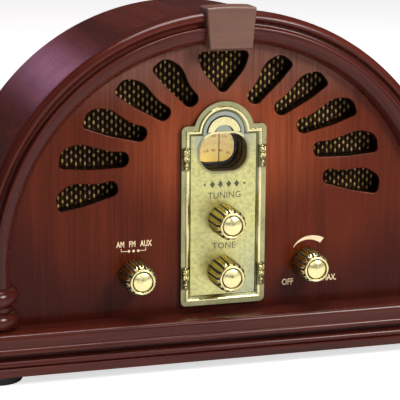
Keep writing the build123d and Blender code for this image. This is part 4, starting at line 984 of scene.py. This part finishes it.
# ---------------------------------------------------------------- lettering
def stroke(mesh, start, end, width, depth, thick):
    """Flat printed line between two (x, height) points."""
    middle = ((start[0] + end[0]) / 2, (start[1] + end[1]) / 2)
    run = math.hypot(end[0] - start[0], end[1] - start[1])
    turn = math.atan2(end[1] - start[1], end[0] - start[0])
    bmesh.ops.create_cube(
        mesh, size=1.0,
        matrix=Matrix.Translation((middle[0], depth, BASE_TOP + middle[1]))
        @ Matrix.Rotation(-turn, 4, "Y") @ Matrix.Diagonal((run, thick, width, 1.0)),
    )


def dot(mesh, spot, radius, depth, thick):
    """Flat printed dot."""
    bmesh.ops.create_cone(
        mesh, cap_ends=True, segments=20, radius1=radius, radius2=radius, depth=thick,
        matrix=Matrix.Translation((spot[0], depth, BASE_TOP + spot[1])) @ UPRIGHT,
    )


def volume_wedge(mesh, centre, depth, thick):
    """Printed arc that widens clockwise over the knob at its centre."""
    steps = 28
    start, end = math.radians(131), math.radians(52)
    rim = []
    for index in range(steps + 1):
        share = index / steps
        turn = start + (end - start) * share
        spine = 0.0136 + 0.0043 * share**0.7
        half = 0.00015 + 0.00185 * share
        for reach in (spine - half, spine + half):
            x = centre.x + reach * math.cos(turn)
            rim.append(mesh.verts.new((x, depth, centre.z + reach * math.sin(turn))))
    strips = []
    for i in range(0, 2 * steps, 2):
        strips.append(mesh.faces.new((rim[i], rim[i + 1], rim[i + 3], rim[i + 2])))
    grown = bmesh.ops.extrude_face_region(mesh, geom=strips)
    raised = [g for g in grown["geom"] if isinstance(g, bmesh.types.BMVert)]
    bmesh.ops.translate(mesh, verts=raised, vec=(0, thick, 0))


# Words on the front: x, height above the base, share of the letters' height and of their width
PANEL_WORDS = (
    ("AM", -0.0681, 0.0481, 1.38, 0.66), ("FM", -0.0603, 0.0481, 1.38, 0.66),
    ("AUX", -0.0512, 0.0481, 1.38, 0.66), ("OFF", 0.0461, 0.0153, 1.48, 0.78),
    ("MAX.", 0.0757, 0.0163, 1.42, 0.74),
)
# Lines and dots under the band switch's words
SWITCH_LINES = (
    ((-0.0676, 0.0455), (-0.0676, 0.0436)), ((-0.0678, 0.0437), (-0.0628, 0.0437)),
    ((-0.0564, 0.0437), (-0.0512, 0.0437)), ((-0.0513, 0.0436), (-0.0513, 0.0455)),
)
SWITCH_DOTS = ((-0.0625, 0.0437), (-0.0594, 0.0437), (-0.0563, 0.0437))
CUT = 0.00012                         # thickness of the blackened cuts


def cream_print(printed):
    """Cream ink, slightly worn."""
    material, tree, shader = new_material("Cream print")
    worn = noise(tree, place(tree), 1800.0, 3, 0.6)
    body = blend(tree, band(tree, worn, 0.5, 0.75), printed.cream, shaded(printed.cream, 0.75))
    feed(tree, shader, Base_Color=body, Roughness=plus(tree, 0.35, times(tree, worn, 0.2)))
    return material


def blackened_cut():
    """Blackened engraving, rubbed through to the brass in places."""
    material, tree, shader = new_material("Blackened engraving")
    rubbed = noise(tree, place(tree), 1400.0, 3, 0.6)
    body = blend(tree, band(tree, rubbed, 0.45, 0.68), (0.060, 0.062, 0.040), (0.26, 0.25, 0.14))
    feed(tree, shader, Base_Color=body, Metallic=0.6, Roughness=0.5)
    return material


def front_markings(printed):
    """Mesh of the printed words, switch lines and volume wedge."""
    thick = printed.film
    depth = PANEL_Y - thick / 2
    mesh = bmesh.new()
    for word, x, height, scale, narrow in PANEL_WORDS:
        at = Matrix.Translation((x, depth, BASE_TOP + height)) @ Matrix.Diagonal((narrow, 1, 1, 1)) @ UPRIGHT
        gather(mesh, text_mesh(word, printed.letter * scale, thick, at, bold=0.00010))
    for start, end in SWITCH_LINES:
        stroke(mesh, start, end, 0.00042, depth, thick)
    for spot in SWITCH_DOTS:
        dot(mesh, spot, 0.00088, depth, thick)
    low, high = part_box("volume_knob")
    volume_wedge(mesh, (low + high) / 2, depth - thick / 2, thick)
    return mesh


def plate_cuts():
    """Mesh of the faceplate's words and its row of diamonds between two dots."""
    mesh = bmesh.new()
    face = PLATE_FACE - 0.00005
    for word, height in (("TUNING", 0.0772), ("TONE", 0.0437)):
        at = Matrix.Translation((MARK_X, face, BASE_TOP + height)) @ UPRIGHT
        gather(mesh, text_mesh(word, 0.0058, CUT, at, spacing=1.02))
    for x in (-0.0082, -0.0028, 0.0028, 0.0082):
        spot = Matrix.Translation((MARK_X + x, face, BASE_TOP + MARK_HEIGHT))
        bmesh.ops.create_cone(
            mesh, cap_ends=True, segments=4, radius1=0.0021, radius2=0.0021, depth=CUT,
            matrix=spot @ Matrix.Diagonal((0.8, 1, 1.15, 1)) @ UPRIGHT,
        )
    for x in (-0.0134, 0.0134):
        dot(mesh, (MARK_X + x, MARK_HEIGHT), 0.0007, face, CUT)
    return mesh


class RADIO_OT_lettering(bpy.types.Operator):
    """Prints the cream markings on the front and cuts the words into the faceplate"""

    bl_idname = "radio.lettering"
    bl_label = "Lettering"

    def execute(self, context):
        printed = context.scene.radio_print
        markings = front_markings(printed)
        finished("panel_print", markings, cream_print(printed), "cabinet", smooth=False)
        finished("plate_engraving", plate_cuts(), blackened_cut(), "cabinet", smooth=False)
        return {"FINISHED"}


# ---------------------------------------------------------------- works
def plain_body(name, first, second, smooth, rough, scale=60.0, relief=0.0, relief_scale=700.0, **sockets):
    """Moulded, pressed or coated body with a mottled colour and uneven gloss."""
    material, tree, shader = new_material(name)
    vector = place(tree)
    wear = handled(tree, vector, scale, smooth, rough)
    body = blend(tree, wear["Smudge"], first, second)
    feed(tree, shader, Base_Color=body, Roughness=wear["Roughness"], **sockets)
    if relief:
        cast = stippled(tree, vector, relief_scale)
        feed(tree, shader, Normal=bump(tree, cast["Height"], relief, 0.6))
    return material


def raw_timber(name, grain, light, deep):
    """Unlacquered timber or pressed board."""
    material, tree, shader = new_material(name)
    timber = grained(tree, grain_vector(tree, grain, place(tree)))
    body = blend(tree, timber["Figure"], deep, light)
    body = blend(tree, times(tree, timber["Pores"], 0.5), body, shaded(deep, 0.4))
    rough = plus(tree, 0.55, times(tree, timber["Streaks"], 0.2))
    feed(tree, shader, Base_Color=body, Roughness=rough, Normal=bump(tree, timber["Height"], 0.00005, 0.6))
    return material


# Works in metal: name, nodes, colour, smooth and rough polish, wear scale, then stipple, its scale and grime
METAL_WORKS = (
    ("Plated steel",
     ("foot_screws", "baffle_screws", "speaker_screws", "speaker_frame_left", "speaker_frame_right",
      "tuning_bracket", "bracket_posts", "tuning_shaft", "dial_spindle", "control_nuts", "rear_screws",
      "board_standoffs", "band_shaft", "volume_shaft", "tone_shaft"),
     ((0.62, 0.62, 0.60), 0.24, 0.42, 140.0, 0.00001, 1800.0, (0.25, 0.23, 0.20))),
    ("Bush brass", ("tuning_bushing",), ((0.72, 0.55, 0.22), 0.25, 0.40, 140.0)),
    ("Bright aluminium", ("tuning_capacitor", "band_switch", "volume_control", "tone_control"),
     ((0.78, 0.78, 0.79), 0.28, 0.45, 120.0)),
)
# Works in wood or board: name, nodes, light and deep colour
TIMBER_WORKS = (
    ("Pressed board", ("rear_panel", "speaker_baffle"), (0.135, 0.072, 0.036), (0.088, 0.045, 0.022)),
    ("Softwood", ("corner_blocks", "rear_batten"), (0.52, 0.34, 0.17), (0.36, 0.21, 0.095)),
)
# Moulded, pressed or coated works: name, nodes, two colours, smooth and rough polish, wear scale,
# relief and its scale, then other shader settings
PLAIN_WORKS = (
    ("Foot rubber", ("rubber_feet",),
     ((0.012, 0.012, 0.014), (0.022, 0.022, 0.024), 0.45, 0.70, 90.0, 0.00004, 1400.0), {}),
    ("Dark moulded plastic", ("dc_inlet", "aux_jack", "board_components"),
     ((0.020, 0.016, 0.014), (0.034, 0.028, 0.025), 0.34, 0.52, 80.0, 0.00002, 1600.0), {}),
    ("Board laminate", ("circuit_board",),
     ((0.010, 0.080, 0.030), (0.014, 0.105, 0.040), 0.30, 0.45, 120.0), {"Coat_Weight": 0.4}),
    ("Ferrite", ("ferrite_rod", "speaker_magnets"),
     ((0.045, 0.045, 0.048), (0.070, 0.070, 0.073), 0.45, 0.65, 110.0, 0.00003, 900.0), {"Metallic": 0.4}),
    ("Cone paper", ("speaker_cone_left", "speaker_cone_right"),
     ((0.030, 0.028, 0.026), (0.050, 0.046, 0.042), 0.75, 0.92, 200.0, 0.00006, 1100.0), {}),
    ("Pale moulded plastic", ("rod_clips", "lamp_holder", "dial_gear"),
     ((0.72, 0.69, 0.62), (0.60, 0.57, 0.50), 0.34, 0.50, 90.0), {}),
    ("Lamp glass", ("dial_lamp",), ((1.0, 0.86, 0.60), (1.0, 0.80, 0.50), 0.05, 0.15, 120.0),
     {"Emission_Color": (1.0, 0.62, 0.25), "Emission_Strength": 2.0}),
)


class RADIO_OT_works(bpy.types.Operator):
    """Finishes the feet, the back, the speakers, the tuning works and the board"""

    bl_idname = "radio.works"
    bl_label = "Feet, back and works"

    def execute(self, context):
        for name, nodes, finish in METAL_WORKS:
            dress(nodes, metal_body(name, *finish))
        for name, nodes, light, deep in TIMBER_WORKS:
            dress(nodes, raw_timber(name, "x", light, deep))
        for name, nodes, finish, sockets in PLAIN_WORKS:
            dress(nodes, plain_body(name, *finish, **sockets))
        return {"FINISHED"}


# ---------------------------------------------------------------- stage
def softbox(name, spot, width, height, power, tint):
    """Rectangular area light aimed at the radio."""
    data = bpy.data.lights.new(name, "AREA")
    data.shape = "RECTANGLE"
    data.size, data.size_y = width, height
    data.energy = power
    data.color = tint
    made = bpy.data.objects.new(name, data)
    made.location = spot
    made.rotation_euler = (Vector(LIGHTS_AIM) - Vector(spot)).to_track_quat("-Z", "Y").to_euler()
    bpy.context.scene.collection.objects.link(made)


def studio_floor():
    """Seamless pale floor, a large disc under the radio."""
    mesh = bmesh.new()
    bmesh.ops.create_circle(mesh, cap_ends=True, segments=96, radius=6.0)
    data = bpy.data.meshes.new("studio_floor")
    mesh.to_mesh(data)
    mesh.free()
    material, tree, shader = new_material("Studio floor")
    cloud = noise(tree, place(tree), 3.0, 3, 0.5)
    path = add_node(tree, "ShaderNodeLightPath")
    pale = blend(tree, cloud, (0.76, 0.76, 0.77), (0.80, 0.80, 0.81))
    pale = blend(tree, times(tree, path.outputs["Is Glossy Ray"], 0.15), pale, (0.0, 0.0, 0.0))
    feed(
        tree, shader, Base_Color=pale, Roughness=0.85, Specular_IOR_Level=0.1,
        Emission_Color=(1.0, 1.0, 1.0), Emission_Strength=times(tree, path.outputs["Is Camera Ray"], 0.68),
    )
    data.materials.append(material)
    floor = bpy.data.objects.new("studio_floor", data)
    bpy.context.scene.collection.objects.link(floor)


def studio_world():
    """White backdrop to the eye and a dimmer surround for light and reflections."""
    world = bpy.data.worlds.new("Studio")
    world.use_nodes = True
    tree = world.node_tree
    tree.nodes.clear()
    seen = add_node(tree, "ShaderNodeBackground", {"Color": (1, 1, 1, 1), "Strength": 1.0})
    around = add_node(tree, "ShaderNodeBackground", {"Color": (0.93, 0.94, 1.0, 1), "Strength": 0.045})
    ray = add_node(tree, "ShaderNodeLightPath").outputs["Is Camera Ray"]
    mixed = add_node(tree, "ShaderNodeMixShader", {0: ray, 1: around.outputs[0], 2: seen.outputs[0]})
    output = tree.nodes.new("ShaderNodeOutputWorld")
    tree.links.new(mixed.outputs[0], output.inputs[0])
    bpy.context.scene.world = world


# Lights: name, place, width, height, power, tint
LIGHTS = (
    ("key_light", (0.75, -1.15, 0.95), 0.45, 0.45, 22.0, (1.0, 0.97, 0.92)),
    ("front_fill", (-0.40, -1.70, 0.75), 0.8, 0.5, 3.6, (1.0, 1.0, 1.0)),
    ("top_light", (0.05, -0.10, 1.60), 1.0, 0.6, 30.0, (1.0, 0.97, 0.98)),
    ("back_glow", (-0.46, 1.95, 0.82), 0.50, 0.45, 1.0, (1.0, 0.46, 0.80)),
)
LIGHTS_AIM = (0.0, 0.0, 0.11)
VIEW_TARGET = Vector((-0.015026, PANEL_Y, BASE_TOP + 0.074523))


def studio_camera(stage):
    """Camera turned round the radio, raised, rolled and set back from the point it looks at."""
    data = bpy.data.cameras.new("camera")
    data.lens = stage.lens
    data.sensor_width = 36.0
    data.clip_start = 0.01
    data.clip_end = 50.0
    azimuth, elevation = stage.azimuth, stage.elevation
    level = math.cos(elevation)
    right = Vector((math.cos(azimuth), -math.sin(azimuth), 0.0))
    ahead = Vector((math.sin(azimuth) * level, math.cos(azimuth) * level, -math.sin(elevation)))
    up = right.cross(ahead)
    lean, turn = math.cos(stage.roll), math.sin(stage.roll)
    across, upward = lean * right + turn * up, lean * up - turn * right
    facing = Matrix((across, upward, -ahead)).transposed().to_4x4()
    camera = bpy.data.objects.new("camera", data)
    camera.matrix_world = Matrix.Translation(VIEW_TARGET - ahead * stage.distance) @ facing
    bpy.context.scene.collection.objects.link(camera)
    return camera


class RADIO_OT_stage(bpy.types.Operator):
    """Sets up the floor, the soft studio light and the camera"""

    bl_idname = "radio.stage"
    bl_label = "Studio"

    def execute(self, context):
        studio_floor()
        studio_world()
        for light in LIGHTS:
            softbox(*light)
        context.scene.camera = studio_camera(context.scene.radio_stage)
        context.scene.view_settings.view_transform = "Standard"
        return {"FINISHED"}


OPERATORS = [
    RADIO_OT_wood, RADIO_OT_brass, RADIO_OT_clasps, RADIO_OT_grille, RADIO_OT_dial, RADIO_OT_lettering,
    RADIO_OT_works, RADIO_OT_stage,
]


class RADIO_PT_sidebar(bpy.types.Panel):
    """Lists the radio's finishes and their settings"""

    bl_idname = "RADIO_PT_sidebar"
    bl_label = "Cathedral radio"
    bl_space_type = "VIEW_3D"
    bl_region_type = "UI"
    bl_category = "Radio"

    def draw(self, context):
        for operator in OPERATORS:
            self.layout.operator(operator.bl_idname)
        for name, group in GROUPS.items():
            box = self.layout.box()
            for field in group.__annotations__:
                box.prop(getattr(context.scene, name), field)


def register():
    """Registers the settings, the operators and the panel."""
    for group in GROUPS.values():
        bpy.utils.register_class(group)
    for name, group in GROUPS.items():
        setattr(bpy.types.Scene, name, PointerProperty(type=group))
    for operator in OPERATORS:
        bpy.utils.register_class(operator)
    bpy.utils.register_class(RADIO_PT_sidebar)


def unregister():
    """Takes everything out again."""
    bpy.utils.unregister_class(RADIO_PT_sidebar)
    for operator in reversed(OPERATORS):
        bpy.utils.unregister_class(operator)
    for name, group in GROUPS.items():
        delattr(bpy.types.Scene, name)
        bpy.utils.unregister_class(group)


def main():
    """Builds the whole radio in order."""
    register()
    timber_group()
    handling_group()
    casting_group()
    bpy.ops.radio.wood()
    bpy.ops.radio.brass()
    bpy.ops.radio.clasps()
    bpy.ops.radio.grille()
    bpy.ops.radio.dial()
    bpy.ops.radio.lettering()
    bpy.ops.radio.works()
    bpy.ops.radio.stage()


if __name__ == "__main__":
    main()
